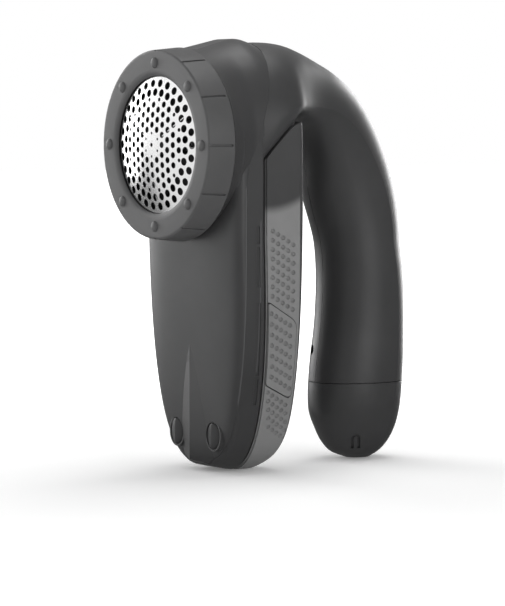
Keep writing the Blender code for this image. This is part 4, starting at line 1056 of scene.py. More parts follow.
@dataclass(frozen=True)
class SpunSteel:
    """The foil's steel: polished, with a fine grain in circles about the foil's middle."""

    name: str
    colour: Triple = (0.80, 0.80, 0.80)
    wall_shade: Triple = (0.04, 0.04, 0.04)
    roughness: float = 0.22
    grain_scale: Pair = (3000.0, 1.5)
    grain_depth: float = 0.00003

    def material(self) -> bpy.types.Material:
        """Builds the material. The grain is noise read at (distance from the middle, angle).

        The walls of the holes, whose normals lie across the foil's axis, are painted dark as shade.

        Returns:
            The material, with the grain in Normal and Roughness.
        """
        graph = Graph(self.name)
        middle = {0: graph.place(), 1: (0.0, FACE_Y, RING_Z)}
        x, _, z = graph.parts(graph.add("ShaderNodeVectorMath", middle, operation="SUBTRACT"))
        reach = (x * x + z * z).math("SQRT")
        angle = z.math("ARCTAN2", x)
        fine, long = self.grain_scale
        spun = graph.add("ShaderNodeCombineXYZ", {0: reach * fine, 1: angle * long, 2: 0.0})
        grain = graph.noise(1.0, 2, 0.6, at=spun)
        # Painted shade: dark colour on the walls of the holes.
        normal = graph.parts(graph.add("ShaderNodeTexCoord", out="Normal"))
        front = normal[1].math("ABSOLUTE").rise(0.4, 0.8)
        colour = graph.mix(front, shade(self.wall_shade), graph.tones(grain, self.colour, 0.96, 1.02))
        bump = graph.bump(0.10, self.grain_depth, grain)
        rough = self.roughness + (grain - 0.5) * 0.08
        return graph.finish(Base_Color=colour, Metallic=1.0, Roughness=rough, Normal=bump)


@dataclass(frozen=True)
class PrintedWrap:
    """The shrunk sleeve of a cell: a glossy film with a pale band at its upper end."""

    name: str
    colour: Triple = (0.06, 0.19, 0.10)
    band: Triple = (0.55, 0.5, 0.32)
    bottom: float = 0.0155
    length: float = 0.05
    band_edge: Pair = (0.86, 0.875)
    wrinkle_depth: float = 0.0001

    def material(self) -> bpy.types.Material:
        """Builds the material. The bands repeat with the height, one for each cell's length.

        Returns:
            The material, with the bands in Base Color and wrinkles in Normal.
        """
        graph = Graph(self.name)
        height = graph.parts(graph.place())[2]
        band = ((height - self.bottom) / self.length).math("FRACT").rise(*self.band_edge)
        colour = graph.mix(band, shade(self.colour), shade(self.band))
        wrinkle = graph.noise(300, 2)
        bump = graph.bump(0.15, self.wrinkle_depth, wrinkle)
        return graph.finish(Base_Color=colour, Roughness=0.3 + wrinkle * 0.1, Normal=bump)


@dataclass
class Finishes:
    """Every material of the shaver, by its use."""

    case: bpy.types.Material
    ring: bpy.types.Material
    box: bpy.types.Material
    inner: bpy.types.Material
    steel: bpy.types.Material
    foil: bpy.types.Material
    wrap: bpy.types.Material

    @classmethod
    def build(cls) -> "Finishes":
        """Builds them all."""
        kinds = {
            "case": CasePlastic("case_plastic", (0.044, 0.044, 0.045), roughness=0.38),
            "ring": MouldedPlastic("guard_ring_plastic", (0.074, 0.074, 0.075), roughness=0.48),
            "box": PanelPlastic("lint_box_plastic", (0.047, 0.047, 0.048), roughness=0.5, grain=0.5),
            "inner": MouldedPlastic("inner_plastic", (0.028, 0.028, 0.029), roughness=0.55),
            "steel": Steel("bright_steel"),
            "foil": SpunSteel("spun_steel"),
            "wrap": PrintedWrap("cell_wrap"),
        }
        return cls(**{use: kind.material() for use, kind in kinds.items()})


# Sub-assemblies


@dataclass
class FoilUnit:
    """The guard ring with its domed foil, which turn off the head together."""

    front_r: float = 0.0429
    rear_r: float = 0.0441
    depth: float = 0.0138
    plate: float = 0.0030
    opening_r: float = 0.0311
    dome_count: int = 8
    dome_circle_r: float = 0.0370
    dome_r: float = 0.0025
    dome_height: float = 0.0012
    dome_root: float = 0.0006
    grooves: int = 12
    groove_width: float = 0.0011
    groove_depth: float = 0.0007
    groove_start: float = -0.002
    groove_height: float = 0.004
    sphere_r: float = 0.1350
    foil_r: float = 0.0338
    thickness: float = 0.0003
    centre_hole_r: float = 0.0009
    punch: float = 0.002
    profile_soft: float = 0.00028
    seat_gap: float = FIT + 0.0002
    pitch: float = 0.00453
    lattice: tuple[tuple[tuple[int, ...], float], ...] = (
        ((3, 4, 7, 9, 12, 13, 16, 19), 0.00142),
        ((21,), 0.0009),
    )
    hole_rows: tuple[tuple[int, float, float, float], ...] = (
        (6, 0.00526, 0.0006, 0.0),
        (30, 0.0238, 0.00175, 0.0),
        (30, 0.0279, 0.00175, 0.5),
    )

    def foil_y(self, radius: Array | float) -> Array | float:
        """How far behind the ring's face the dome lies: its apex plus r^2 / 2R."""
        return -FOIL_PROUD + radius**2 / (2 * self.sphere_r)

    def ring(self) -> Solid:
        """The guard ring: a turned section with domes on its face and grooves round its rim."""
        lip = self.foil_y(self.opening_r) - FIT
        seat = self.foil_r + self.seat_gap
        inner = COLLAR_R + RUN
        profile = [
            (self.opening_r, lip),
            (self.opening_r, 0.0010),
            (self.opening_r + 0.0006, 0.00055),
            (self.opening_r + 0.0015, 0.00018),
            (self.opening_r + 0.0027, 0.0),
            (self.front_r - 0.0010, 0.0),
            (self.front_r - 0.0002, 0.0004),
            (self.front_r, 0.0011),
            (self.rear_r, self.depth - 0.0006),
            (self.rear_r - 0.0005, self.depth),
            (inner + 0.0003, self.depth),
            (inner, self.depth - 0.0004),
            (inner, self.plate),
            (seat, self.plate),
            (seat, lip),
        ]
        ring = turned("ring_turned", softened(profile, self.profile_soft, 3), 288)
        ring.cut(self.groove_cutters())
        return ring.join(self.domes())

    def groove_cutters(self) -> Solid:
        """The grip grooves: blocks with round rear ends that follow the rim's taper."""
        end = self.depth * 0.9
        taper = math.atan2(self.rear_r - self.front_r, self.depth)
        angle = np.linspace(-np.pi / 2, np.pi / 2, 9)
        wide = self.groove_width / 2
        nose = np.stack([wide * np.sin(angle), end - wide + wide * np.cos(angle)], -1)
        flat = np.vstack([[(wide, self.groove_start), (-wide, self.groove_start)], nose])
        floor = self.front_r - self.groove_depth + flat[:, 1] * math.tan(taper)
        level = np.stack([floor, floor + self.groove_height])
        turn = around(self.grooves)[:, None, None]
        c, s = np.cos(turn), np.sin(turn)
        x = flat[:, 0] * c + level * s
        z = -flat[:, 0] * s + level * c
        return Solid.skin("grooves", spread(x, flat[:, 1], RING_Z + z))

    def domes(self) -> Solid:
        """The domes: flattened half balls of h (1 - (r/R)^2)^(1/2) on the ring's face."""
        radius = self.dome_r * np.cos(np.linspace(0, 0.48 * np.pi, 14))
        height = self.dome_height * np.sqrt(1 - (radius / self.dome_r) ** 2)
        radius = np.concatenate([[self.dome_r, self.dome_r], radius[1:]])
        back = np.concatenate([[self.dome_root, 0.0], -height[1:]])
        angle, turn = around(32), around(self.dome_count)[:, None, None]
        x = radius[:, None] * np.cos(angle) + self.dome_circle_r * np.cos(turn)
        z = radius[:, None] * np.sin(angle) + self.dome_circle_r * np.sin(turn)
        return Solid.skin("domes", spread(x, back[:, None], RING_Z + z))

    def holes(self) -> Array:
        """The foil's holes as rows of x, z and radius about its middle.

        The middle is a hexagonal lattice: large holes where the squared distance in
        pitches is a listed whole number, and small ones at 21. Six tiny holes stand round
        the centre, and two rows of thirty larger ones stand round the edge.

        Returns:
            One row for each hole but the centre's.
        """
        column, row = np.meshgrid(np.arange(-6, 7), np.arange(-6, 7), indexing="ij")
        x = column * self.pitch * math.sqrt(3) / 2
        z = (row + (column % 2) / 2) * self.pitch
        ring = np.rint((x * x + z * z) / self.pitch**2).astype(int)
        found = []
        for rings, radius in self.lattice:
            chosen = np.isin(ring, rings)
            found.append(spread(x[chosen], z[chosen], radius))
        for count, reach, radius, start in self.hole_rows:
            angle = np.pi / 2 + 2 * np.pi * (np.arange(count) + start) / count
            found.append(spread(reach * np.cos(angle), reach * np.sin(angle), radius))
        return np.vstack(found)

    def foil(self) -> Solid:
        """The foil: a flat washer punched with every hole, then bent to its sphere."""
        reach = np.linspace(self.centre_hole_r, self.foil_r, 34)
        front = np.stack([reach, 0 * reach], -1)
        back = np.stack([reach[::-1], 0 * reach + self.thickness], -1)
        foil = turned("foil_sheet", np.vstack([front, back]), 120)
        x, z, radius = self.holes().T[..., None, None]
        angle, y = around(24), np.array([[-self.punch], [self.punch]])
        punch = spread(x + radius * np.cos(angle), y, RING_Z + (z + radius * np.sin(angle)))
        foil.cut(Solid.skin("punch", punch))
        points = foil.points()
        radius = np.hypot(points[:, 0], points[:, 2] - RING_Z)
        points[:, 1] += self.foil_y(radius)
        foil.set_points(points)
        return foil

    def build(self, finishes: Finishes) -> None:
        """Makes and dresses ring and foil."""
        self.ring().dress(finishes.ring, "foil_unit", "ring_plastic", ["guard_ring"], 24)
        self.foil().dress(finishes.foil, "foil_unit", "steel", ["foil"], 24)


@dataclass
class FrontCover:
    """Neck, collar and the front of the arm in one shell, with its keel and glide studs."""

    arm: Arm
    neck: Neck
    layout: Layout
    keel_y: float = 0.0191
    keel_top: float = 0.058
    keel_bottom: float = 0.0003
    keel_half_width: float = 0.0133
    keel_edge: float = 0.0005
    keel_root: float = 0.035
    keel_foot: float = 0.0003
    collar_y: Pair = (0.0036, 0.0215)
    bore_r: float = 0.0375
    bore_y: Pair = (-0.005, 0.024)
    stud_depth: float = 0.0022
    stud_rim: float = 0.0012
    stud_crown: float = 0.0007
    stud_fall: float = 0.0010

    def ahead(self) -> Solid:
        """Everything in front of the parting line."""
        line = self.layout.seam(0.0) + [(-FAR, -FAR), (-FAR, RING_Z + FAR)]
        return prism("ahead", line, THROUGH)

    def keel(self) -> Solid:
        """The keel: an upright ridge whose flanks spread with the root of the way down."""
        t = np.linspace(0, 1, 56) ** 1.6
        z = self.keel_top + (self.keel_bottom - self.keel_top) * t
        half = np.maximum(self.keel_edge, self.keel_half_width * np.sqrt(t))
        ridge = np.full_like(z, self.keel_y)
        edge = np.maximum(self.arm.front(half, z), ridge) + self.keel_foot
        deep = np.full_like(z, self.keel_root)
        x = np.stack([0 * z, half, half, -half, -half], -1)
        y = np.stack([ridge, edge, deep, deep, edge], -1)
        return Solid.skin("keel", self.arm.lifted(spread(x, y, z[:, None])))

    def plug(self, name: str, side: int, grow: float, rows: Sequence[Pair]) -> Solid:
        """An oval plug where a glide stud sits.

        Args:
            name: name of the new object.
            side: 1 for the right stud, -1 for the left one.
            grow: how much larger than the stud the plug is all round.
            rows: share of the size and y of each section.

        Returns:
            The solid.
        """
        size, back = np.array(rows).T[..., None]
        (across, height), (wide, tall) = self.layout.stud, self.layout.stud_half
        angle = around(56)
        x = side * across + (wide * size + grow) * np.cos(angle)
        z = height + (tall * size + grow) * np.sin(angle)
        return Solid.skin(name, spread(x, back, z))

    def shell(self) -> Solid:
        """The cover: arm, neck, keel and collar ahead of the parting line, hollow behind."""
        shell = self.arm.solid("cover_shell", columns=170, crown_rows=40)
        shell.join(self.neck.solid("neck"))
        shell.join(self.keel())
        shell.join(turned("collar", [(COLLAR_R, y) for y in self.collar_y], 144, hoop=False))
        shell.share(self.ahead())
        hollow = self.arm.solid("hollow", inset=WALL, columns=80, crown_rows=12)
        hollow.join(self.neck.solid("neck_hollow", WALL, self.neck.front_y + WALL, 1))
        hollow.join(turned("bore", [(self.bore_r, y) for y in self.bore_y], 96, hoop=False))
        shell.cut(hollow)
        front = self.layout.stud_y
        floor = front + self.stud_depth
        for side in (-1, 1):
            rows = ((1, front + self.stud_rim), (1, floor + WALL))
            shell.join(self.plug("seat", side, self.stud_rim, rows).share(self.ahead()))
            shell.cut(self.plug("socket", side, FIT, ((1, front - 0.01), (1, floor))))
        return shell

    def stud(self, side: int) -> Solid:
        """One glide stud: an oval plug whose face falls to both sides of an upright ridge.

        The face is a flattened dome, a quarter of u^2.4 + v^2 = 1 in its size and its rise,
        and falls further by the distance from the ridge.
        """
        angle = np.linspace(0.03, 0.5 * np.pi, 14)
        size = np.sin(angle) ** (2 / 2.4)
        y = self.layout.stud_y + self.stud_crown * (1 - np.cos(angle))
        rows = list(zip(size, y)) + [(1.0, self.layout.stud_y + self.stud_depth - FIT)]
        plug = self.plug("stud_oval", side, 0.0, rows)
        points = plug.points()
        away = np.abs(points[:, 0] - side * self.layout.stud[0]) / self.layout.stud_half[0]
        flat = points[:, 1] < self.layout.stud_y + self.stud_fall
        points[:, 1] += np.where(flat, self.stud_fall * away, 0.0)
        plug.set_points(points)
        return plug

    def build(self, finishes: Finishes) -> None:
        """Makes and dresses the cover and both studs."""
        self.shell().dress(finishes.case, "shaver", "dark_plastic", ["front_cover"], 9)
        for name, side in (("glide_stud_left", -1), ("glide_stud_right", 1)):
            self.stud(side).dress(finishes.inner, "shaver", "inner_plastic", [name], 20)


@dataclass
class Housing:
    """Head rear, arch, handle and the arm's side rails, in two halves."""

    arm: Arm
    arch: Arch
    layout: Layout
    band_top: float = RING_Z + 0.0105
    bay_front: float = 0.030
    bay_top: float = RING_Z + 0.012
    bay_lead: Pair = (0.010, 0.004)
    slot_y: Pair = (0.0299, 0.0320)
    slots: tuple[Pair, ...] = ((0.1051, 0.1130), (0.0856, 0.1036), (0.0453, 0.0785), (0.0318, 0.0440))
    slot_depth: float = 0.0005
    slot_height: float = 0.006
    port_half: float = 0.016
    port_y: Pair = (-0.008, 0.004)
    port_z: Pair = (0.084, 0.106)
    boss_r: float = 0.0034
    screw_hole_r: float = 0.0015
    recess_r: float = 0.0028
    recess_x: float = -0.0060

    def behind(self) -> Solid:
        """Everything behind the parting line, past the fit."""
        line = self.layout.seam(self.layout.seam_gap) + [(FAR, -FAR), (FAR, RING_Z + FAR)]
        return prism("behind", line, THROUGH)

    def outside(self) -> Solid:
        """The outer form, with the lint box's room and the motor bay."""
        lay = self.layout
        shell = self.arch.solid("housing_shell")
        band = self.arm.solid("band", columns=170)
        band.share(lay.ahead_of_groove("band_part"))
        band.share(block("band_top", THROUGH, (-0.05, 0.1), (-0.05, self.band_top)))
        band.cut(lay.channel(self.arm))
        shell.join(band)
        shell.cut(lay.box_side("box_room", 0.0, self.arm.rear_y + FIT))
        wide, z = lay.bay_half_width, (lay.bay_bottom, self.bay_top)
        shell.join(block("bay", (-wide, wide), (self.bay_front, lay.bay_rear), z))
        return shell.share(self.behind())

    def inside(self) -> Solid:
        """The room inside: arch and handle, the motor bay and the duct down the arm."""
        lay = self.layout
        room = self.arch.solid("room", WALL, between=2, outer=12, inner=14)
        limit = lay.box_side("box_skin", 0.0, self.arm.rear_y + 3 * WALL)
        room.cut(limit.move(Matrix.Translation((0, -1.5 * WALL, WALL))))
        duct = self.arm.solid("duct", WALL, columns=80, crown_rows=8)
        duct.share(lay.ahead_of_groove("duct_part", -lay.groove - lay.web))
        duct.share(block("duct_top", THROUGH, (-0.05, 0.1), (-0.05, RING_Z)))
        room.join(duct)
        wide = lay.bay_half_width - lay.web
        y = (self.bay_front - self.bay_lead[0], lay.bay_rear - lay.web)
        z = (lay.bay_bottom + lay.web, self.bay_top + self.bay_lead[1])
        room.join(block("bay_room", (-wide, wide), y, z))
        for y, z in lay.screws:
            room.cut(rod("boss", [(-0.05, y, z), (0.05, y, z)], self.boss_r, 24))
        return room

    def rail_slots(self) -> Solid:
        """The shallow slots in the side rails, which follow the arm's side and the groove's lean.

        A strip's sections stand at even heights from its low end to its high end. In each
        the floor lies one slot depth inside the arm's half width at that height.
        """
        spans = np.array(self.slots)
        z = spans[:, :1] + (spans[:, 1:] - spans[:, :1]) * np.linspace(0, 1, 14)
        floor = self.arm.half_x(z) - self.slot_depth
        x = np.stack([floor, floor, floor + self.slot_height, floor + self.slot_height], -1)
        y0, y1 = (edge + self.layout.leaning(z) for edge in self.slot_y)
        right = spread(x, np.stack([y0, y1, y1, y0], -1), z[..., None])
        return Solid.skin("rail_slots", np.concatenate([right, right * (-1, 1, 1)]))

    def whole(self) -> Solid:
        """Both halves in one, with every opening."""
        lay = self.layout
        shell = self.outside().cut(self.inside())
        y = [lay.groove_y + step for step in self.port_y]
        shell.cut(block("port", (-self.port_half, self.port_half), y, self.port_z))
        shell.cut(self.rail_slots())
        for name, start, end, radius in (
            ("jack_mouth", 0.080, lay.jack_y[0] + RUN, lay.jack_mouth),
            ("jack_room", lay.jack_y[0] - FIT, lay.jack_y[1] + RUN, lay.jack_r + FIT),
        ):
            shell.cut(rod(name, [(lay.jack[0], y, lay.jack[1]) for y in (start, end)], radius, 48))
        shell.cut(lay.switch_block(self.arch, "track", (0.0100, 0.0050), (-0.0008, 0.003), soft=0.0015))
        shell.cut(lay.switch_block(self.arch, "slot", (0.0045, 0.0020), (-0.005, 0.003)))
        return shell.cut(block("cap_room", (-0.03, 0.03), (0.08, 0.15), (-0.01, lay.cap_seam)))

    def build(self, finishes: Finishes) -> None:
        """Splits the housing in its middle plane, drills the screw holes, and dresses both halves."""
        whole = self.whole()
        for name, side in (("housing_right", 1), ("housing_left", -1)):
            half = whole.copy(name + "_shell")
            x = sorted((side * FIT / 2, side * 0.06))
            half.share(block("half", x, (-0.05, 0.2), (-0.01, 0.25)))
            bore = (-0.001, 0.0115) if side > 0 else (-0.05, 0.001)
            bores = [("hole", bore, self.screw_hole_r, 24)]
            if side < 0:
                bores.append(("recess", (-0.05, self.recess_x), self.recess_r, 36))
            for y, z in self.layout.screws:
                for kind, reach, radius, sides in bores:
                    half.cut(rod(kind, [(x, y, z) for x in reach], radius, sides))
            half.dress(finishes.case, "shaver", "dark_plastic", [name], 14)
        bpy.data.objects.remove(whole.obj, do_unlink=True)


@dataclass
class LintBox:
    """The lint box behind the arm, with dented grip panels and a squeeze button in each side."""

    arm: Arm
    layout: Layout
    button_y: Pair = (0.0363, 0.0530)
    button_top: Pair = (0.0789, 0.0690)
    button_low: Pair = (0.0418, 0.0337)
    clip: Pair = (0.0014, 0.0036)
    lip: float = 0.0012
    proud: float = 0.0004
    travel: float = 0.0016
    flange: float = 0.0016
    dent: Triple = (0.0009, 0.0012, 0.00105)
    dent_tilt: float = -0.25
    pocket_wall: float = 0.0014
    slab_x: Pair = (0.012, 0.05)
    slab_rear: float = 0.075
    pad_root: float = 0.0008
    fields: tuple[tuple[float, ...], ...] = (
        (0.0392, 0.1108, 0.0, -0.00421, 0.00288, -0.00163, 8),
        (0.0397, 0.0374, 0.0009, -0.00405, 0.00278, -0.0016, 5),
    )
    pad_field: tuple[float, ...] = (0.0385, 0.0735, 0.00038, -0.00485, 0.00266, -0.00143, 7)

    def outline(self, grow: float = 0.0) -> Array:
        """The button's outline in (y, z): four slanted sides that meet in rounded corners.

        The corners are rounded by the clip, which grows by 0.4 of the growth.

        Args:
            grow: how much larger than the button the outline is all round.

        Returns:
            The points as (count, 2), from the low front corner round.
        """
        front, rear = self.button_y
        run = rear - front
        levels = (self.button_low, self.button_low, self.button_top, self.button_top)
        corners = []
        for i, (low_front, low_rear) in enumerate(levels):
            fall = (low_front - low_rear) / run
            at_rear = i in (1, 2)
            z = low_rear if at_rear else low_front
            shift = grow if at_rear else self.layout.leaning(z) - min(grow, FIT + 0.0001 + 0.1 * grow)
            away = grow * math.hypot(1, fall) * (1 if i > 1 else -1)
            corners.append(((rear if at_rear else front) + shift, z - fall * shift + away))
        clip = np.array([self.clip[0], self.clip[1], self.clip[1], self.clip[0]])[:, None]
        return softened(corners, clip + 0.4 * grow, 8)

    def slice(self, name: str, outline: Array | Outline, outer: float, inner: float) -> Solid:
        """A curved slab of the arm's right side, between two insets, within an outline."""
        slab = prism(name, outline, self.slab_x)
        slab.share(self.arm.solid("outer_skin", outer, rear=self.slab_rear, crown_rows=4))
        rear = self.slab_rear + 4 * inner
        return slab.cut(self.arm.solid("inner_skin", inner, rear=rear, crown_rows=4))

    def dents(self, side: int, proud: float, fields: Sequence[Sequence[float]]) -> Solid:
        """Oval dents in slanting rows: flattened balls set on the panel's surface.

        Row i and column j of a field have their dent at the field's first place plus i
        times its row step plus j times its column step, and at the arm's half width there.

        Args:
            side: 1 for the right panel, -1 for the left one.
            proud: how far the surface stands out of the arm's side.
            fields: y, z, row step in y and z, column step in y and z, and rows of each.

        Returns:
            One solid with every dent.
        """
        spots = []
        for y, z, row_y, row_z, column_y, column_z, rows in fields:
            i, j = np.meshgrid(np.arange(rows), np.arange(5), indexing="ij")
            spot = [y + i * row_y + j * column_y, z + i * row_z + j * column_z]
            spots.append(np.stack(spot, -1).reshape(-1, 2))
        y, z = np.vstack(spots).T
        centre = spread(self.arm.half_x(z) + proud, y, z)
        up, turn = np.radians(np.linspace(-84, 84, 9))[:, None], around(18)
        ball = spread(np.sin(up), np.cos(up) * np.cos(turn), np.cos(up) * np.sin(turn)) * self.dent
        c, s = math.cos(self.dent_tilt), math.sin(self.dent_tilt)
        across, back, rise = np.moveaxis(ball, -1, 0)
        grid = spread(across, back * c - rise * s, back * s + rise * c) + centre[:, None, None]
        grid[..., 0] *= side
        return Solid.skin("dents", grid)

    def box(self) -> Solid:
        """The box: the arm behind the groove, hollow, with a window and a pocket for each button."""
        lay = self.layout
        box = self.arm.solid("box_shell", columns=200)
        box.share(lay.box_side("box_part", lay.groove, self.arm.rear_y + WALL))
        room = self.arm.solid("room", WALL, columns=80, crown_rows=6)
        depth = WALL + FIT + self.flange + self.travel + RUN
        grow = self.lip + RUN
        for side in (1, -1):
            outline = self.outline(grow + self.pocket_wall)
            pocket = self.slice("pocket", outline, WALL - 0.0004, depth + self.pocket_wall)
            room.cut(pocket.on_side(side))
        box.cut(room)
        box.cut(lay.channel(self.arm))
        wide, z = lay.bay_half_width + RUN, (lay.bay_bottom - RUN, RING_Z + 0.03)
        box.cut(block("bay", (-wide, wide), (0.02, lay.bay_rear + RUN), z))
        for side in (1, -1):
            hollow = self.slice("hollow", self.outline(grow), WALL, depth)
            hollow.join(self.slice("window", self.outline(FIT + 0.0001), -WALL, depth - 0.001))
            box.cut(hollow.on_side(side))
            box.cut(self.dents(side, 0.0, self.fields))
        return box

    def button(self, side: int) -> Solid:
        """A squeeze button: a proud dented pad on a wider flange behind the panel."""
        pad = self.slice("button_pad", self.outline(), -self.proud, WALL + self.pad_root)
        pad.join(self.slice("flange", self.outline(self.lip), WALL + FIT, WALL + FIT + self.flange))
        pad.cut(self.dents(1, self.proud, [self.pad_field]))
        return pad.on_side(side)

    def build(self, finishes: Finishes) -> None:
        """Makes and dresses the box and both buttons."""
        self.box().dress(finishes.box, "lint_container", "box_plastic", ["lint_box"], 20)
        for hand, side in (("right", 1), ("left", -1)):
            name, body = "release_button_" + hand, "button_" + hand
            self.button(side).dress(finishes.box, body, "box_plastic", [name], 20)


@dataclass
class HandleEnd:
    """The battery cap, the thumb slide and the power inlet."""

    arch: Arch
    layout: Layout
    floor_z: float = 0.006
    cell_y: float = 0.1177
    spigot: float = 0.005
    notch_angle: float = math.radians(-38)
    notch_z: Pair = (0.0053, 0.0103)
    notch_half: float = 0.0022
    notch_depth: float = 0.0009
    notch_x: float = 0.0262
    tab_half: float = 0.0009
    tab_x: float = 0.0300
    pad_size: Pair = (0.0062, 0.0045)
    stem_size: Pair = (0.0025, 0.0016)
    rib_size: Pair = (0.0005, 0.0036)
    rib_start: float = -0.0045
    rib_pitch: float = 0.003
    jack_wall: float = 0.0011
    pin_r: float = 0.0007
    near: tuple[Pair, Pair] = ((-0.03, 0.03), (0.08, 0.15))
    ribs: int = 4

    def notch(self) -> Solid:
        """The finger notch low on the cap: an arch of even depth round a standing tab."""
        low, high = self.notch_z
        angle = np.linspace(0, np.pi, 17)
        arc = np.stack([np.cos(angle), np.sin(angle)], -1)
        half, tab = self.notch_half, self.tab_half
        line = np.vstack([[(-half, low), (half, low)], arc * half + (0, high)])
        notch = prism("notch", line, (3 * half, self.notch_x))
        line = np.vstack([[(-tab, low - half), (tab, low - half)], arc * tab + (0, high)])
        notch.cut(prism("tab", line, (2 * half, self.tab_x)))
        notch.move(Matrix.Rotation(self.notch_angle, 4, "Z"))
        notch.move(Matrix.Translation((0, self.cell_y - WALL, 0)))
        return notch.cut(self.arch.solid("notch_floor", self.notch_depth, between=2))

    def cap(self) -> Solid:
        """The battery cap: the handle's end as a cup, with a spigot that enters the housing."""
        seam, reach = self.layout.cap_seam, self.spigot
        cap = self.part("cap_shell", 0.0, (-0.01, seam - FIT))
        cap.join(self.part("spigot", WALL + FIT, (seam - reach, seam + reach)))
        mouth = self.part("mouth", 2 * WALL - FIT, (seam - 1.6 * reach, 0.06))
        room = self.part("cap_room", WALL, (self.floor_z, seam - 1.1 * reach))
        cap.cut(room.join(mouth))
        return cap.cut(self.notch())

    def part(self, name: str, inset: float, z: Pair) -> Solid:
        """The handle's form at an inset, between two heights."""
        return self.arch.solid(name, inset).share(block("between", *self.near, z))

    def slide(self) -> Solid:
        """The thumb slide: a rounded pad with four ribs, on a stem that passes the slot."""
        lay, arch = self.layout, self.arch
        shift = -lay.switch_travel / 2
        span = (-0.0008 + FIT, 0.0003)
        knob = lay.switch_block(arch, "slide_pad", self.pad_size, span, shift, 0.0012)
        knob.join(lay.switch_block(arch, "stem", self.stem_size, (-0.0040, 0.0), shift))
        for i in range(self.ribs):
            place = shift + self.rib_start + self.rib_pitch * i
            knob.join(lay.switch_block(arch, "rib", self.rib_size, (0.0, 0.0007), place, 0.0003))
        return knob

    def inlet(self) -> Solid:
        """The power inlet: a barrel with a centre pin, open towards the fingers."""
        lay = self.layout
        front, back = lay.jack_y
        barrel = self.along_jack("barrel", (front, back), lay.jack_r)
        socket = (front - 0.002, back - 0.0014)
        barrel.cut(self.along_jack("socket", socket, lay.jack_r - self.jack_wall))
        return barrel.join(self.along_jack("pin", (front + 0.0008, back - 0.0007), self.pin_r))

    def along_jack(self, name: str, y: Pair, radius: float) -> Solid:
        """A rod on the inlet's line between two distances."""
        x, z = self.layout.jack
        return rod(name, [(x, y[0], z), (x, y[1], z)], radius, 40)

    def build(self, finishes: Finishes) -> None:
        """Makes and dresses cap, slide and inlet."""
        self.cap().dress(finishes.case, "end_cap", "dark_plastic", ["battery_cap"], 14)
        self.slide().dress(finishes.inner, "switch_knob", "inner_plastic", ["power_slide"], 24)
        self.inlet().dress(finishes.inner, "shaver", "inner_plastic", ["power_inlet"], 24)


@dataclass
class Works:
    """The pieces inside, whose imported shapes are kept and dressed."""

    steel: tuple[str, ...] = (
        "motor_can",
        "motor_shaft",
        "motor_screw",
        "cutter_blade",
        "cutter_spring",
        "cap_spring",
        "contact_plate",
        "case_screw",
    )

    def build(self, finishes: Finishes) -> None:
        """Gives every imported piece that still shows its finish."""
        for name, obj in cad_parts.items():
            if obj.hide_render:
                continue
            finish = finishes.steel if name.startswith(self.steel) else finishes.inner
            if name.startswith("cell_"):
                finish = finishes.wrap
            obj.data.materials.clear()
            obj.data.materials.append(finish)
            LOG.info("%s keeps its packed shape and takes %s", name, finish.name)


# Camera, light and floor


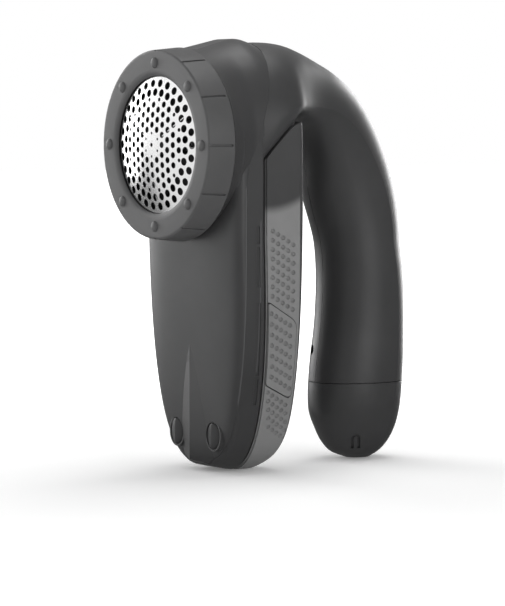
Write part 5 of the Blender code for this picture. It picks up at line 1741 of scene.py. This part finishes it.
@dataclass
class Studio:
    """A pale floor, soft light and the camera at the photograph's angle."""

    camera: Triple = (1.0802, -0.8011, 0.1632)
    target: Triple = (0.0, -0.0139, 0.0992)
    lens: float = 171.3
    shift_y: float = -0.0833
    floor_half: float = 6.0
    floor_z: float = -0.0002
    above: float = 0.36
    below: float = 0.14
    dim_way: Triple = (0.5, 0.85, 0.0)
    lights: tuple[tuple[str, Triple, float, float], ...] = (
        ("key", (-1.9, -0.35, 0.55), 1.2, 17.0),
        ("front", (-1.1, -1.6, 0.2), 1.7, 7.0),
        ("rim", (-0.65, 1.5, 0.35), 0.8, 10.5),
        ("top", (-0.1, 0.3, 1.7), 1.0, 9.0),
        ("side", (1.9, 0.3, 0.5), 1.2, 8.0),
    )

    def set_camera(self) -> None:
        """A long lens, level, aimed at the middle of the shaver."""
        data = bpy.data.cameras.new("camera")
        data.lens = self.lens
        data.sensor_width = 36.0
        data.shift_y = self.shift_y
        data.clip_end = 50.0
        camera = bpy.data.objects.new("camera", data)
        bpy.context.scene.collection.objects.link(camera)
        camera.location = self.camera
        away = Vector(self.target) - Vector(self.camera)
        camera.rotation_euler = away.to_track_quat("-Z", "Y").to_euler()
        bpy.context.scene.camera = camera

    def softbox(self, name: str, place: Triple, size: float, power: float) -> None:
        """A square area light that faces the shaver."""
        data = bpy.data.lights.new(name, "AREA")
        data.shape = "RECTANGLE"
        data.size = data.size_y = size
        data.energy = power
        light = bpy.data.objects.new(name, data)
        bpy.context.scene.collection.objects.link(light)
        light.location = place
        away = Vector((0, 0, 0.1)) - Vector(place)
        light.rotation_euler = away.to_track_quat("-Z", "Z").to_euler()

    def floor(self) -> None:
        """A wide level floor at the shaver's feet, matt, glowing faintly near it and white away from
        it.
        """
        graph = Graph("studio_floor")
        reach = graph.add("ShaderNodeVectorMath", {0: graph.place()}, out="Value", operation="LENGTH")
        # Painted light: the floor glows, faintly near the shaver as fill from below, and white further
        # away.
        far = graph.tones(reach.rise(0.15, 0.6), WHITE, 0.14, 1.0)
        tone = graph.tones(graph.noise(3, 2), WHITE, 0.97, 0.99)
        glow = {"Emission_Color": far, "Emission_Strength": 1.0}
        floor = graph.finish(Base_Color=tone, Roughness=0.9, Specular_IOR_Level=0.0, **glow)
        h = self.floor_half
        mesh = bpy.data.meshes.new("studio_floor")
        mesh.from_pydata([(-h, -h, 0), (h, -h, 0), (h, h, 0), (-h, h, 0)], [], [(0, 1, 2, 3)])
        obj = bpy.data.objects.new("studio_floor", mesh)
        obj.location.z = self.floor_z
        obj.data.materials.append(floor)
        obj.visible_glossy = False
        bpy.context.scene.collection.objects.link(obj)

    def world(self) -> None:
        """A surround that the camera sees pure white, and that lights the shaver softly.

        As a light it is brighter above than below, and dim behind the right side.
        """
        graph = Graph("studio_world", world=True)
        way = graph.add("ShaderNodeTexCoord", out="Generated")
        height = graph.parts(way)[2]
        behind = graph.dot(way, self.dim_way)
        glow = (height.rise(-0.5, 0.7) * self.above + self.below) * (1.0 - behind.rise(0.2, 0.95) * 0.7)
        graph.feed(graph.shader.inputs["Strength"], glow)
        graph.feed(graph.shader.inputs["Color"], shade(WHITE))
        white = graph.add("ShaderNodeBackground", {"Color": shade(WHITE), "Strength": 1.0})
        seen = graph.add("ShaderNodeLightPath", out="Is Camera Ray")
        soft = Wire(graph, graph.shader.outputs[0])
        mix = graph.add("ShaderNodeMixShader", {0: seen, 1: soft, 2: white})
        graph.feed(graph.tree.nodes["World Output"].inputs["Surface"], mix)
        bpy.context.scene.world = graph.material
        bpy.context.scene.view_settings.view_transform = "Standard"

    def build(self) -> None:
        """Sets up camera, lights, floor and surround."""
        self.set_camera()
        self.world()
        self.floor()
        for light in self.lights:
            self.softbox(*light)
        LOG.info("studio: camera, floor, surround and %d softboxes", len(self.lights))


def main() -> None:
    """Builds the shaver's looks piece by piece, then the studio round it."""
    logging.basicConfig(level=logging.INFO, format="%(name)s: %(message)s")
    finishes = Finishes.build()
    arm, neck, arch, layout = Arm(), Neck(), Arch(), Layout()
    FoilUnit().build(finishes)
    FrontCover(arm, neck, layout).build(finishes)
    Housing(arm, arch, layout).build(finishes)
    LintBox(arm, layout).build(finishes)
    HandleEnd(arch, layout).build(finishes)
    Works().build(finishes)
    Studio().build()


if __name__ == "__main__":
    main()
